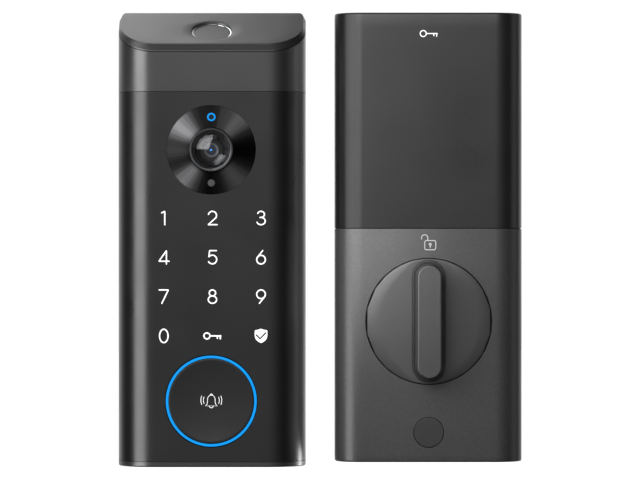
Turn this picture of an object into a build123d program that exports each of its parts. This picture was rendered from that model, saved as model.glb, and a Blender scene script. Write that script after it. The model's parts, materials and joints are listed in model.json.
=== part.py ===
from build123d import *

import math
import os

# A keypad smart lock in its two halves, side by side, both facing the viewer.
#
# The exterior unit carries a camera, a touch keypad, a doorbell button and a fingerprint sensor, and hides
# a key cylinder whose bevel gears turn the torque blade.  The interior unit carries the thumb turn, its
# motor and gear train, a lock button and a battery pack under a cover that slides off upwards.
#
# Frame, in millimetres: +X to the right as seen from the front, +Z up, and +Y into the door.  The origin is
# on the exterior unit's spindle axis, in the plane of the door face that both units are screwed to.
# "Depth" is the distance from that plane towards the viewer, so a depth of d lies at Y = -d.
# "Height" is measured from the bottom of the unit that a piece belongs to.

# ---- Driving dimensions: both units -------------------------------------------------------------------
UNIT_SPACING = 82.8          # between the two spindle axes
FIXING_SPACING = 38.0        # between the two through bolts of a door bore
SEAM = 0.15                  # hairline gap between neighbouring shells
RUNNING = 0.05               # radial clearance of a shaft in its bearing

# ---- Driving dimensions: exterior unit ----------------------------------------------------------------
EXT_WIDTH = 72.0
EXT_HEIGHT = 175.2
EXT_SPINDLE = 55.8           # height of the spindle axis
EXT_GASKET = 1.5
EXT_CHASSIS = 4.0            # depth at which the rear chassis ends and the front shells start
EXT_DEPTH = 27.5
EXT_WALL = 2.0
EXT_FRONT_RADIUS = 15.0
EXT_BACK_CORNER = (2.6, 3.5)  # across the width and along the depth
BOTTOM_CAP = 1.9
CAP_SEAM = 143.4             # height of the line between the front cover and the top cap
TOP_FRONT_HEIGHT = 161.1     # height of the slanted top at the front face
TOP_PLATE = 2.2
TOP_BEVEL = 1.0              # width of the bevel on the slanted face, and how far it comes down the rim
TOP_BEVEL_DROP = 2.0
SENSOR_HEIGHT = 167.0
CAMERA_HEIGHT = 121.1
CAMERA_RADIUS = 16.95
LENS_RING_RADIUS = 8.55
LENS_RADIUS = 7.1
CAMERA_EYE_RING = 12.6       # radius on which the light, the sensor window and the microphone sit
DOORBELL_HEIGHT = 25.2
DOORBELL_RING = 17.45
DOORBELL_BUTTON = 16.2
DOORBELL_TRAVEL = 0.6
KEY_COLUMNS = 18.55
KEY_ROWS = 15.0
KEY_FIRST_ROW = 95.1
CYLINDER_DEPTH = 12.2        # depth of the vertical axis of the key cylinder
CYLINDER_RADIUS = 8.0
PLUG_RADIUS = 5.5
BLADE_REACH = 60.0           # how far the torque blade stands out behind the door face
BEVEL_TEETH = 13
GEAR_MODULE = 1.0

# ---- Driving dimensions: interior unit ----------------------------------------------------------------
INT_WIDTH = 71.4
INT_HEIGHT = 170.8
INT_SPINDLE = 53.5
INT_DEPTH = 36.0
INT_WALL = 2.2
INT_FRONT_RADIUS = 10.5
INT_BACK_CORNER = (3.0, 3.0)
COVER_SEAM = 88.8            # height of the line between the housing and the battery cover
TURN_RADIUS = 23.75
TURN_GAP = 0.35
TURN_DISC = 3.0
GRIP_WIDTH = 12.2
GRIP_LENGTH = 46.0
GRIP_TOP_WIDTH = 8.5
GRIP_TOP_LENGTH = 42.9
GRIP_HEIGHT = 14.0
HUB_RADIUS = 6.5
JOURNAL_RADIUS = 9.0
LOCK_BUTTON_HEIGHT = 11.3
LOCK_BUTTON_RADIUS = 5.7
LOCK_BUTTON_TRAVEL = 0.8
MAIN_TEETH = 40
SMALL_TEETH = 12
LARGE_TEETH = 30
PINION_TEETH = 10
GEAR_ANGLE = -60.0           # from the thumb turn's axis to the compound gear, seen from the front
PLATE_WINDOW = 13.0          # radius of the hole that the blade and the cable come through

BACKLASH = 0.16              # taken off each tooth's thickness
PARTS = {}


# ---- Small tools --------------------------------------------------------------------------------------
def ext_z(height):
    """Z of a height above the exterior unit's bottom."""
    return height - EXT_SPINDLE


def int_z(height):
    """Z of a height above the interior unit's bottom."""
    return height - INT_SPINDLE


def slab(sketch, near, far):
    """A front view sketch in (x, z), given thickness between two depths."""
    return extrude(Plane.XZ.offset(near) * sketch, far - near)


def column(sketch, low, high):
    """A plan view sketch in (x, y), given height between two Z values."""
    return extrude(Plane.XY.offset(low) * sketch, high - low)


def disc(radius, near, far, x=0.0, z=0.0):
    """A round bar along the depth, centred on (x, z)."""
    return slab(Pos(x, z) * Circle(radius), near, far)


def post(radius, low, high, x=0.0, depth=0.0):
    """A round bar along Z, centred on (x, depth)."""
    return column(Pos(x, -depth) * Circle(radius), low, high)


def block(x0, x1, near, far, low, high):
    """A box between two X values, two depths and two Z values."""
    centre = Pos((x0 + x1) / 2, -(near + far) / 2, (low + high) / 2)
    return centre * Box(x1 - x0, far - near, high - low)


def turned(profile, x=0.0, z=0.0):
    """A solid of revolution about the depth axis through (x, z), from (radius, depth) points."""
    half = Plane(origin=(x, 0, z), x_dir=(1, 0, 0), z_dir=(0, 0, -1))
    outline = make_face(Polyline(*profile, close=True))
    return revolve(half * outline, Axis((x, 0, z), (0, 1, 0)), 360)


def plan(width, near, far, front_radius, back_corner=None):
    """A unit's plan outline between two depths: round front corners and, if asked, elliptical back ones."""
    outline = Pos(0, -(near + far) / 2) * Rectangle(width, far - near)
    outline = fillet(outline.vertices().sort_by(Axis.Y)[:2], front_radius)
    if back_corner:
        across, along = back_corner
        for side in (-1, 1):
            x, y = side * (width / 2 - across), -(near + along)
            outline -= Pos(x + side * across / 2, y + along / 2) * Rectangle(across, along)
            outline += Pos(x, y) * Ellipse(across, along)
    return outline


def keep(name, shape):
    """Registers a finished sub-part under the name of its node."""
    PARTS[name] = shape


# ---- Gears --------------------------------------------------------------------------------------------
def involute_tooth(pitch_radius, teeth, addendum, dedendum):
    """One side of a tooth as (radius, half angle in radians) points, from the root to the tip."""
    pressure = math.radians(20)
    base = pitch_radius * math.cos(pressure)
    half_at_pitch = (math.pi * pitch_radius / teeth - BACKLASH) / (2 * pitch_radius)
    spread = math.tan(pressure) - pressure
    root, tip = pitch_radius - dedendum, pitch_radius + addendum
    start = max(base, root)
    points = []
    for step in range(6):
        radius = start + (tip - start) * step / 5
        angle = math.acos(min(1.0, base / radius))
        points.append((radius, half_at_pitch + spread - (math.tan(angle) - angle)))
    if root < base:
        points.insert(0, (root, points[0][1]))
    return points


def toothed_outline(flank, teeth):
    """The closed outline of a whole gear, from one flank, with a tooth centred on the local x axis."""
    outline = []
    for tooth in range(teeth):
        centre = 2 * math.pi * tooth / teeth
        rising = [(radius, centre - half) for radius, half in flank]
        falling = [(radius, centre + half) for radius, half in reversed(flank)]
        outline += [(r * math.cos(a), r * math.sin(a)) for r, a in rising + falling]
    return make_face(Polyline(*outline, close=True))


def spur(teeth, turn):
    """The outline of a spur gear, turned by an angle in degrees."""
    flank = involute_tooth(GEAR_MODULE * teeth / 2, teeth, GEAR_MODULE, 1.25 * GEAR_MODULE)
    return Rot(0, 0, turn) * toothed_outline(flank, teeth)


def bevel(teeth, turn, toe=0.62, hub=1.5):
    """A straight bevel gear of a 1:1 right-angle pair.

    Its apex is the local origin and its axis is local +Z, towards the apex.  The teeth come from the
    developed back cone and are drawn through the apex, so every flank is a cone over its profile.
    """
    pitch = GEAR_MODULE * teeth / 2
    slant = math.radians(45)
    virtual = pitch / math.cos(slant)
    developed = involute_tooth(virtual, teeth / math.cos(slant), GEAR_MODULE, 1.2 * GEAR_MODULE)
    flank = []
    for radius, half in developed:
        across = radius * math.cos(slant)
        below = pitch - (radius - virtual) * math.sin(slant)
        flank.append((across * pitch / below, half / math.cos(slant)))
    profile = Rot(0, 0, turn) * toothed_outline(flank, teeth)
    heel = Plane.XY.offset(-pitch) * profile
    small = Plane.XY.offset(-pitch * toe) * scale(profile, toe)
    boss = Pos(0, 0, -pitch - hub / 2) * Cylinder(0.72 * pitch, hub)
    return loft([heel.face(), small.face()], ruled=True) + boss


# ---- Exterior unit: shells ----------------------------------------------------------------------------
SLANT = math.atan2(EXT_HEIGHT - TOP_FRONT_HEIGHT, EXT_DEPTH - EXT_GASKET)
TOP_PLANE = Plane(
    origin=(0, -EXT_GASKET, ext_z(EXT_HEIGHT)),
    x_dir=(1, 0, 0),
    z_dir=(0, -math.sin(SLANT), math.cos(SLANT)),
)
CHASSIS_SCREWS = [(x, ext_z(h)) for x in (-27.0, 27.0) for h in (38.0, 132.0)]
FIXINGS = [(-FIXING_SPACING / 2, 0.0), (FIXING_SPACING / 2, 0.0)]
ext_outline = plan(EXT_WIDTH, EXT_GASKET, EXT_DEPTH, EXT_FRONT_RADIUS, EXT_BACK_CORNER)
front_part = Pos(0, -(EXT_CHASSIS + 20)) * Rectangle(90, 40)
rear_part = Pos(0, -EXT_CHASSIS + 10) * Rectangle(90, 20)


def ext_cavity(wall):
    """The plan outline of the room inside the exterior shells, left open towards the door."""
    return plan(EXT_WIDTH - 2 * wall, 0, EXT_DEPTH - wall, EXT_FRONT_RADIUS - wall)


def below_top(shape, drop):
    """The part of a shape that lies more than `drop` under the slanted top face."""
    return split(shape, bisect_by=TOP_PLANE.offset(-drop), keep=Keep.BOTTOM)


def make_exterior_shells():
    """Front cover, top cap, top plate, bottom cap, rear chassis, gasket and screws."""
    ring = (ext_outline & front_part) - ext_cavity(EXT_WALL)
    cover = column(ring, ext_z(BOTTOM_CAP + SEAM), ext_z(CAP_SEAM - SEAM / 2))
    cover -= disc(CAMERA_RADIUS + 0.1, 20, 30, z=ext_z(CAMERA_HEIGHT))
    cover -= disc(DOORBELL_RING + 0.3, 20, 30, z=ext_z(DOORBELL_HEIGHT))
    for x, z in CHASSIS_SCREWS:
        side = math.copysign((EXT_WIDTH - EXT_WALL) / 2, x)
        rib = block(min(x, side) - 3 * (x > 0), max(x, side) + 3 * (x < 0), EXT_CHASSIS, 10.4, z - 3, z + 3)
        cover += rib - disc(1.25, EXT_CHASSIS, 9.4, x, z)
    keep("exterior_cover", cover)

    cap = column((ext_outline & front_part) - ext_cavity(2.2), ext_z(CAP_SEAM + SEAM / 2), ext_z(180))
    keep("exterior_top_cap", below_top(cap, TOP_PLATE + SEAM))

    plate = below_top(column(ext_outline, ext_z(150), ext_z(180)), 0)
    plate = split(plate, bisect_by=TOP_PLANE.offset(-TOP_PLATE), keep=Keep.TOP)
    face = plate.faces().sort_by(SortBy.AREA)[-2:].sort_by(Axis.Z)[-1]
    plate = chamfer(face.edges().sort_by(Axis.Y)[:-1], TOP_BEVEL, TOP_BEVEL_DROP, reference=face)
    plate -= SENSOR_PLANE * Pos(0, 0, -0.4) * Cone(7.65, 8.25, 0.8)
    plate -= SENSOR_PLANE * Cylinder(7.65, 10)
    keep("exterior_top_plate", plate)

    bottom = column(ext_outline & front_part, ext_z(0), ext_z(BOTTOM_CAP))
    bottom = chamfer(bottom.faces().sort_by(Axis.Z)[0].edges().sort_by(Axis.Y)[:-1], 0.4)
    bottom -= post(CYLINDER_RADIUS + 0.15, ext_z(-1), ext_z(3), depth=CYLINDER_DEPTH)
    for step in range(5):
        slot = Pos(-27 + 3.2 * step, -SPEAKER_DEPTH) * SlotOverall(5.0, 1.4, rotation=90)
        bottom -= column(slot, ext_z(-1), ext_z(3))
    bottom -= column(Pos(USB_X, -USB_DEPTH) * SlotOverall(9.3, 3.6), ext_z(-1), ext_z(3))
    keep("exterior_bottom_cap", bottom)

    chassis = below_top(column(ext_outline & rear_part, ext_z(0), ext_z(180)), TOP_PLATE + SEAM)
    for x, z in FIXINGS:
        chassis += disc(4.5, EXT_CHASSIS - 0.5, 16.5, x, z)
        chassis -= disc(2.1, 0, 15.0, x, z)
    chassis -= disc(4.8, 0, 6)
    chassis -= slab(Pos(0, CABLE_Z) * RectangleRounded(15, 7.5, 1.2), 0, 6)
    for x, z in CHASSIS_SCREWS:
        chassis -= disc(1.6, 0, 6, x, z) + disc(2.9, 0, 2.9, x, z)
    keep("exterior_chassis", chassis)
    screws = [disc(2.6, 1.6, 2.9, x, z) + disc(1.2, 2.9, 9.2, x, z) for x, z in CHASSIS_SCREWS]
    drive = [slab(Pos(x, z) * (Rectangle(3, 0.7) + Rectangle(0.7, 3)), 1.5, 2.2) for x, z in CHASSIS_SCREWS]
    keep("exterior_screws", Compound([screw - cross for screw, cross in zip(screws, drive)]))

    middle = (ext_z(0) + ext_z(EXT_HEIGHT - 2)) / 2
    outer = RectangleRounded(EXT_WIDTH - 8, EXT_HEIGHT - 6, 6)
    gasket = Pos(0, middle) * (outer - RectangleRounded(EXT_WIDTH - 16, EXT_HEIGHT - 14, 3))
    keep("exterior_gasket", slab(gasket, 0, EXT_GASKET))


# ---- Exterior unit: fingerprint sensor, camera ---------------------------------------------------------
SENSOR_SHARE = (SENSOR_HEIGHT - TOP_FRONT_HEIGHT) / (EXT_HEIGHT - TOP_FRONT_HEIGHT)
SENSOR_DEPTH = EXT_DEPTH - SENSOR_SHARE * (EXT_DEPTH - EXT_GASKET)
SENSOR_PLANE = Plane(
    origin=(0, -SENSOR_DEPTH, ext_z(SENSOR_HEIGHT)), x_dir=(1, 0, 0), z_dir=TOP_PLANE.z_dir
)


def make_fingerprint_sensor():
    """Polished ring, touch pad and board, square to the slanted top."""
    ring = Cylinder(7.6, 2.2) - Cylinder(7.05, 4)
    keep("fingerprint_bezel", SENSOR_PLANE * Pos(0, 0, -1.75) * ring)
    keep("fingerprint_sensor", SENSOR_PLANE * Pos(0, 0, -1.65) * Cylinder(7.0, 1.6))
    keep("fingerprint_board", SENSOR_PLANE * Pos(0, 0, -3.4) * Cylinder(9.5, 1.0))


def make_camera():
    """Recessed cone, lens ring, glass, barrel, lens, module, and what sits in the cone."""
    z = ext_z(CAMERA_HEIGHT)
    inner = LENS_RING_RADIUS + 0.05
    cone = [
        (inner, 25.2), (CAMERA_RADIUS, EXT_DEPTH - 0.05), (CAMERA_RADIUS, 25.4),
        (18.8, 25.4), (18.8, 24.4), (inner, 24.4),
    ]
    bezel = turned(cone, z=z)
    bezel -= disc(1.72, 20, 30, z=z + CAMERA_EYE_RING)
    bezel -= disc(1.45, 20, 30, z=z - CAMERA_EYE_RING)
    bezel -= disc(0.45, 20, 30, x=-CAMERA_EYE_RING, z=z)
    keep("camera_bezel", bezel)
    eye = disc(1.68, 24.4, 26.45, z=z + CAMERA_EYE_RING) - disc(0.97, 20, 30, z=z + CAMERA_EYE_RING)
    keep("status_light_ring", eye)
    keep("light_sensor_window", disc(1.4, 24.4, 26.4, z=z - CAMERA_EYE_RING))

    ring = [
        (LENS_RING_RADIUS, 22.6), (LENS_RING_RADIUS, 27.35), (8.2, 27.75), (7.6, 27.75),
        (7.15, 27.3), (7.15, 22.6),
    ]
    keep("lens_ring", turned(ring, z=z))
    dome = [(LENS_RADIUS * step / 8, 27.5 - 1.9 * (step / 8) ** 2) for step in range(9)]
    inside = [(radius * 0.9, depth - 0.8) for radius, depth in reversed(dome)]
    foot = [(LENS_RADIUS, 24.6), (LENS_RADIUS * 0.9, 24.6)]
    keep("lens_glass", turned(dome + foot + inside, z=z))
    baffle = [(2.85, 21.6), (LENS_RADIUS, 24.0), (LENS_RADIUS, 20.0), (2.85, 20.0)]
    keep("lens_baffle", turned(baffle, z=z))
    barrel = [(1.9, 20.0), (1.9, 22.6), (2.2, 23.0), (2.75, 23.0), (2.75, 20.0)]
    keep("lens_barrel", turned(barrel, z=z))
    lens = [(0, 22.6), (1.0, 22.45), (1.85, 21.9), (1.85, 20.6), (0, 20.6)]
    keep("lens_element", turned(lens, z=z))
    module = block(-11, 11, 14.6, 20.0, z - 11, z + 11)
    module = fillet(module.edges().filter_by(Axis.Y), 2)
    keep("camera_module", module)


# ---- Exterior unit: keypad, doorbell, boards ------------------------------------------------------------
CABLE_Z = 13.5
SPEAKER_DEPTH = 15.8
USB_X, USB_DEPTH = 21.0, 15.0


def key_centres():
    """The (x, z) centres of the twelve touch keys."""
    return [
        (KEY_COLUMNS * column_index, ext_z(KEY_FIRST_ROW - KEY_ROWS * row))
        for row in range(4)
        for column_index in (-1, 0, 1)
    ]


def make_keypad():
    """Touch board with its lamps, and the guide that spreads their light behind the digits."""
    low, high = ext_z(44.6), ext_z(102.6)
    middle = (low + high) / 2
    guide = slab(Pos(0, middle) * RectangleRounded(44.4, high - low, 3), 23.95, 25.4)
    board = slab(Pos(0, middle) * RectangleRounded(52, high - low, 3), 22.75, 23.95)
    for x, z in key_centres():
        guide -= block(x - 1.4, x + 1.4, 23.9, 25.0, z - 1.0, z + 1.0)
        board += block(x - 1.1, x + 1.1, 23.95, 24.75, z - 0.7, z + 0.7)
    keep("keypad_light_guide", guide)
    keep("keypad_board", board)


def make_doorbell():
    """Lit ring, dished button, and the board and switch behind it."""
    z = ext_z(DOORBELL_HEIGHT)
    ring = [
        (DOORBELL_BUTTON + 0.1, 22.5), (19.0, 22.5), (19.0, 25.4), (DOORBELL_RING, 25.4),
        (DOORBELL_RING, EXT_DEPTH - 0.2), (DOORBELL_BUTTON + 0.1, EXT_DEPTH - 0.2),
    ]
    keep("doorbell_light_ring", turned(ring, z=z))
    face = [(radius, 26.35 + 0.9 * (radius / 15.9) ** 2) for radius in (0, 4, 8, 12, 14, 15.9)]
    back = [(DOORBELL_BUTTON, 27.1), (DOORBELL_BUTTON, 24.9), (3.0, 24.9), (3.0, 23.6), (0, 23.6)]
    keep("doorbell_button", turned(face + back, z=z))
    keep("doorbell_board", disc(18.0, 20.5, 21.7, z=z))
    switch = block(-3, 3, 21.7, 22.4, z - 3, z + 3) + disc(1.7, 22.4, 22.95, z=z)
    keep("doorbell_switch", switch)


def make_exterior_boards():
    """Main board with its components, the cable socket, the speaker and the emergency power port."""
    low, high = ext_z(66), ext_z(140)
    board = slab(Pos(0, (low + high) / 2) * RectangleRounded(58, high - low, 2), 10.6, 12.2)
    chips = [(-14, 20, 14, 14, 1.6), (8, 22, 10, 10, 1.2), (20, 40, 8, 12, 1.9), (-18, 42, 10, 6, 1.4),
             (0, 58, 18, 12, 1.8), (22, 62, 6, 6, 2.0)]
    for x, z, wide, high_chip, thick in chips:
        board += block(x - wide / 2, x + wide / 2, 12.2, 12.2 + thick, z - high_chip / 2, z + high_chip / 2)
    keep("exterior_main_board", board)
    socket = block(-6, 6, 5.0, 10.6, CABLE_Z - 2.5, CABLE_Z + 2.5)
    socket -= block(-5, 5, 4, 9.0, CABLE_Z - 1.6, CABLE_Z + 1.6)
    keep("exterior_cable_socket", socket)
    speaker = block(-31, -11, SPEAKER_DEPTH - 3.2, SPEAKER_DEPTH + 3.2, ext_z(2.4), ext_z(17))
    speaker = fillet(speaker.edges().filter_by(Axis.Z), 2.5)
    keep("speaker", speaker)
    shell = SlotOverall(8.9, 3.2) - SlotOverall(8.3, 2.6)
    port = Pos(USB_X, -USB_DEPTH) * shell
    tongue = Pos(USB_X, -USB_DEPTH) * Rectangle(6.6, 0.7)
    back = Pos(USB_X, -USB_DEPTH) * SlotOverall(8.9, 3.2)
    body = column(port, ext_z(0.5), ext_z(7)) + column(back, ext_z(7), ext_z(8)) + column(tongue, ext_z(1.2), ext_z(7))
    keep("emergency_power_port", body)


# ---- Exterior unit: key cylinder and bevel drive --------------------------------------------------------
def make_key_drive():
    """Key cylinder, its plug, the bevel pair and the torque blade."""
    face, top = ext_z(0.2), ext_z(30)
    body = post(CYLINDER_RADIUS, face, top, depth=CYLINDER_DEPTH)
    body -= post(PLUG_RADIUS + RUNNING, face - 1, top + 1, depth=CYLINDER_DEPTH)
    keep("key_cylinder", body)
    pitch = GEAR_MODULE * BEVEL_TEETH / 2
    plug = post(PLUG_RADIUS, face + 0.1, top, depth=CYLINDER_DEPTH)
    plug += post(2.5, top, -pitch - 1.5, depth=CYLINDER_DEPTH)
    plug -= block(-1.1, 1.1, CYLINDER_DEPTH - 4.2, CYLINDER_DEPTH + 3.0, face - 1, ext_z(26))
    keep("key_plug", plug)
    apex = Pos(0, -CYLINDER_DEPTH, 0)
    upright = apex * bevel(BEVEL_TEETH, -90)
    keep("plug_bevel_gear", upright)
    half_pitch = 180 / BEVEL_TEETH
    lying = apex * Rot(-90, 0, 0) * (bevel(BEVEL_TEETH, 90 + half_pitch) - Cylinder(2.6, 40))
    keep("spindle_bevel_gear", lying)
    shaft = disc(2.6, 0.5, CYLINDER_DEPTH + pitch + 1.5)
    blade = slab(RectangleRounded(3.0, 8.0, 0.8), -BLADE_REACH, 0.5)
    tip = blade.faces().sort_by(Axis.Y)[-1].edges()
    keep("torque_blade", shaft + chamfer(tip, 0.6))
    bush = [(2.6 + RUNNING, EXT_GASKET + 0.1), (4.8, EXT_GASKET + 0.1), (4.8, EXT_CHASSIS), (5.4, EXT_CHASSIS),
            (5.4, 5.0), (2.6 + RUNNING, 5.0)]
    keep("spindle_bush", turned(bush))


# ---- Interior unit --------------------------------------------------------------------------------------
PLATE_SCREWS = [(x, int_z(h)) for x in (-27.0, 27.0) for h in (12.0, 80.5)]
HOUSING_SCREWS = [(x, int_z(h)) for x in (-19.0, 19.0) for h in (6.2, 82.0)]
COMPOUND = (
    GEAR_MODULE * (MAIN_TEETH + SMALL_TEETH) / 2 * math.cos(math.radians(GEAR_ANGLE)),
    GEAR_MODULE * (MAIN_TEETH + SMALL_TEETH) / 2 * math.sin(math.radians(GEAR_ANGLE)),
)
MOTOR = (COMPOUND[0] - GEAR_MODULE * (LARGE_TEETH + PINION_TEETH) / 2, COMPOUND[1])
int_outline = plan(INT_WIDTH, 0, INT_DEPTH, INT_FRONT_RADIUS, INT_BACK_CORNER)


def int_cavity():
    """The plan outline of the room inside the interior shells, left open towards the door."""
    return plan(INT_WIDTH - 2 * INT_WALL, -5, INT_DEPTH - INT_WALL, INT_FRONT_RADIUS - INT_WALL)


def make_interior_shells():
    """Housing, battery cover, inner chassis, mounting plate and screws."""
    front = INT_DEPTH - INT_WALL
    housing = column(int_outline, int_z(0), int_z(COVER_SEAM - SEAM))
    housing = fillet(housing.faces().sort_by(Axis.Z)[0].edges().sort_by(Axis.Y)[:-1], 0.8)
    room = column(int_cavity(), int_z(INT_WALL), int_z(COVER_SEAM + 5))
    housing -= room
    shelf = column(int_cavity(), int_z(85.4), int_z(87.6)) & block(-40, 40, 6.0, 40, int_z(80), int_z(100))
    housing += shelf
    housing += disc(TURN_RADIUS + TURN_GAP + INT_WALL, 30.8, front)
    housing -= disc(TURN_RADIUS + TURN_GAP, 32.6, 40)
    housing -= disc(JOURNAL_RADIUS + RUNNING, 30, 40)
    housing -= disc(LOCK_BUTTON_RADIUS + 0.15, 30, 40, z=int_z(LOCK_BUTTON_HEIGHT))
    for x, z in HOUSING_SCREWS:
        housing += disc(2.8, 5.0, front, x, z) - disc(1.25, 5.0, 14.0, x, z)
    keep("interior_housing", housing)

    cover = column(int_outline, int_z(COVER_SEAM + SEAM), int_z(INT_HEIGHT))
    cover = fillet(cover.faces().sort_by(Axis.Z)[-1].edges().sort_by(Axis.Y)[:-1], 0.8)
    cover -= column(int_cavity(), int_z(COVER_SEAM - 5), int_z(INT_HEIGHT - INT_WALL))
    keep("battery_cover", cover)

    low, high = int_z(2.5), int_z(INT_HEIGHT - 2.6)
    chassis = slab(Pos(0, (low + high) / 2) * RectangleRounded(66.4, high - low, 2), 3, 5)
    chassis -= disc(JOURNAL_RADIUS, 0, 10) + slab(Pos(0, 22) * RectangleRounded(16, 8, 1), 0, 10)
    for x, z in PLATE_SCREWS + HOUSING_SCREWS:
        chassis -= disc(1.6, 0, 10, x, z)
    keep("interior_chassis", chassis)
    keep("housing_screws", Compound([disc(2.6, 1.8, 3.0, x, z) + disc(1.2, 3.0, 13.5, x, z)
                                     for x, z in HOUSING_SCREWS]))

    low, high = int_z(6), int_z(164.5)
    plate = slab(Pos(0, (low + high) / 2) * RectangleRounded(64, high - low, 8), 0, 1.5)
    for x, z in PLATE_SCREWS:
        plate += disc(3, 1.4, 3.0, x, z)
    for x, z in PLATE_SCREWS:
        plate -= disc(1.25, -1, 5, x, z)
    plate -= disc(PLATE_WINDOW, -1, 5)
    for x, z in FIXINGS:
        plate -= disc(2.75, -1, 5, x, z)
    for x, z in HOUSING_SCREWS:
        plate -= disc(3.2, 1.0, 5, x, z)
    keep("mounting_plate", plate)
    screws = [disc(2.6, 5, 6.4, x, z) + disc(1.2, 0.2, 5, x, z) for x, z in PLATE_SCREWS]
    drive = [slab(Pos(x, z) * (Rectangle(3, 0.7) + Rectangle(0.7, 3)), 5.7, 7) for x, z in PLATE_SCREWS]
    keep("plate_screws", Compound([screw - cross for screw, cross in zip(screws, drive)]))


def stadium(width, length):
    """An upright slot shape of a given width and overall length."""
    return SlotOverall(length, width, rotation=90)


def make_thumb_turn():
    """Disc with its journal, drafted grip, hub with a cross socket, main gear and retaining ring."""
    front = INT_DEPTH
    back = front - TURN_DISC
    body = disc(TURN_RADIUS, back, front) + disc(JOURNAL_RADIUS, 28.0, back)
    body -= disc(HUB_RADIUS, 20, back)
    body -= disc(JOURNAL_RADIUS + 1, 29.1, 30.4) - disc(JOURNAL_RADIUS - 0.6, 29.1, 30.4)
    groove = stadium(GRIP_WIDTH + 0.8, GRIP_LENGTH + 0.8)
    body -= slab(groove, front - 0.8, front + 1)
    keep("thumb_turn_disc", body)
    base = Plane.XZ.offset(front - 0.8) * stadium(GRIP_WIDTH, GRIP_LENGTH)
    top = Plane.XZ.offset(front + GRIP_HEIGHT) * stadium(GRIP_TOP_WIDTH, GRIP_TOP_LENGTH)
    grip = loft([base.face(), top.face()], ruled=True)
    grip = chamfer(grip.faces().sort_by(Axis.Y)[0].edges(), 0.4)
    keep("thumb_turn_grip", grip)
    hub = disc(HUB_RADIUS, 3.6, back)
    socket = RectangleRounded(3.6, 8.6, 0.4) + RectangleRounded(8.6, 3.6, 0.4)
    hub -= slab(socket, 0, 17)
    keep("spindle_hub", hub)
    keep("main_gear", slab(spur(MAIN_TEETH, GEAR_ANGLE) - Circle(HUB_RADIUS), 24, 28))
    ring = disc(12, 29.2, 30.3) - disc(JOURNAL_RADIUS - 0.55, 20, 40)
    ring -= slab(Pos(0, 12) * Rectangle(9, 14), 20, 40)
    keep("retaining_ring", ring)


def make_gear_train():
    """Gearbox plate, hub bush, compound gear with its axle, motor and pinion."""
    plate = slab(Pos(0, -7.5) * RectangleRounded(62, 64, 5), 17.2, 19.2)
    for x, z in ((-27, 20), (27, 20), (-27, -34.5), (27, -34.5)):
        plate += disc(2.8, 5, 17.5, x, z)
    plate -= disc(8.5, 10, 25) + disc(1.5, 10, 25, *COMPOUND) + disc(1.6, 10, 25, *MOTOR)
    keep("gearbox_plate", plate)
    keep("hub_bush", disc(8.5, 16.6, 19.8) - disc(HUB_RADIUS + RUNNING, 10, 25))
    keep("compound_axle", disc(1.5, 17.2, 30.6, *COMPOUND))
    small_turn = GEAR_ANGLE + 180 + 180 / SMALL_TEETH
    at = Pos(*COMPOUND)
    gear = slab(at * spur(SMALL_TEETH, small_turn), 23.2, 28) + slab(at * spur(LARGE_TEETH, 180), 20.2, 23.2)
    gear -= disc(1.5 + RUNNING, 10, 40, *COMPOUND)
    keep("compound_gear", gear)
    pinion = slab(Pos(*MOTOR) * spur(PINION_TEETH, 180 / PINION_TEETH), 20.2, 23.2)
    keep("motor_pinion", pinion + disc(1.0, 14.2, 20.2, *MOTOR))
    can = disc(8.0, 5.8, 17.2, *MOTOR) - disc(1.0 + RUNNING, 14.0, 20, *MOTOR)
    keep("motor", can)


def make_lock_button():
    """The round button under the thumb turn, and the switch that it presses."""
    z = int_z(LOCK_BUTTON_HEIGHT)
    cap = disc(LOCK_BUTTON_RADIUS, 33.6, INT_DEPTH - 0.25, z=z)
    cap = chamfer(cap.faces().sort_by(Axis.Y)[0].edges(), 0.25)
    keep("lock_button", cap + disc(7.0, 32.7, 33.6, z=z) + disc(1.5, 31.0, 32.7, z=z))
    switch = block(-8, 8, 27.3, 28.5, z - 7, z + 7) + block(-3, 3, 28.5, 29.6, z - 3, z + 3)
    keep("lock_button_switch", switch + disc(1.5, 29.6, 30.15, z=z))


def make_battery_and_board():
    """Battery pack in its tray, its contacts, and the board behind it."""
    low, high = int_z(90.6), int_z(164.6)
    pack = block(-29.5, 29.5, 12.2, 32.4, low, high)
    keep("battery_pack", fillet(pack.edges(), 2.5))
    tray = block(-31.5, 31.5, 10.6, 11.8, int_z(89.8), int_z(167.4))
    for side in (-1, 1):
        tray += block(min(30.0 * side, 31.5 * side), max(30.0 * side, 31.5 * side), 10.6, 26, int_z(89.8), int_z(167.4))
    tray += block(-31.5, 31.5, 10.6, 26, int_z(165.6), int_z(167.4))
    for x in (-29.8, 29.8):
        for height in (95, 164):
            tray += disc(1.5, 5, 10.7, x, int_z(height))
    keep("battery_tray", tray)
    contacts = [block(-9, 9, 18, 26, int_z(87.6), int_z(89.2))]
    pins = [post(0.8, int_z(89.2), int_z(90.5), x, 22) for x in (-6, -3, 0, 3, 6)]
    keep("battery_contacts", Compound(contacts + pins))
    low, high = int_z(95), int_z(164)
    board = slab(Pos(0, (low + high) / 2) * RectangleRounded(55, high - low, 2), 7.6, 9.2)
    chips = [(-12, 56, 12, 12), (10, 58, 9, 9), (16, 84, 10, 14), (-16, 88, 14, 9)]
    for x, z, wide, high_chip in chips:
        board += block(x - wide / 2, x + wide / 2, 6.2, 7.6, z - high_chip / 2, z + high_chip / 2)
    keep("interior_main_board", board)
    keep("buzzer", disc(6, 5.4, 7.6, 0, int_z(150)))
    socket = block(-6, 6, 5.3, 7.6, int_z(96), int_z(101))
    keep("interior_cable_socket", socket - block(-5, 5, 5.8, 7.1, int_z(95), int_z(99.5)))


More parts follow.
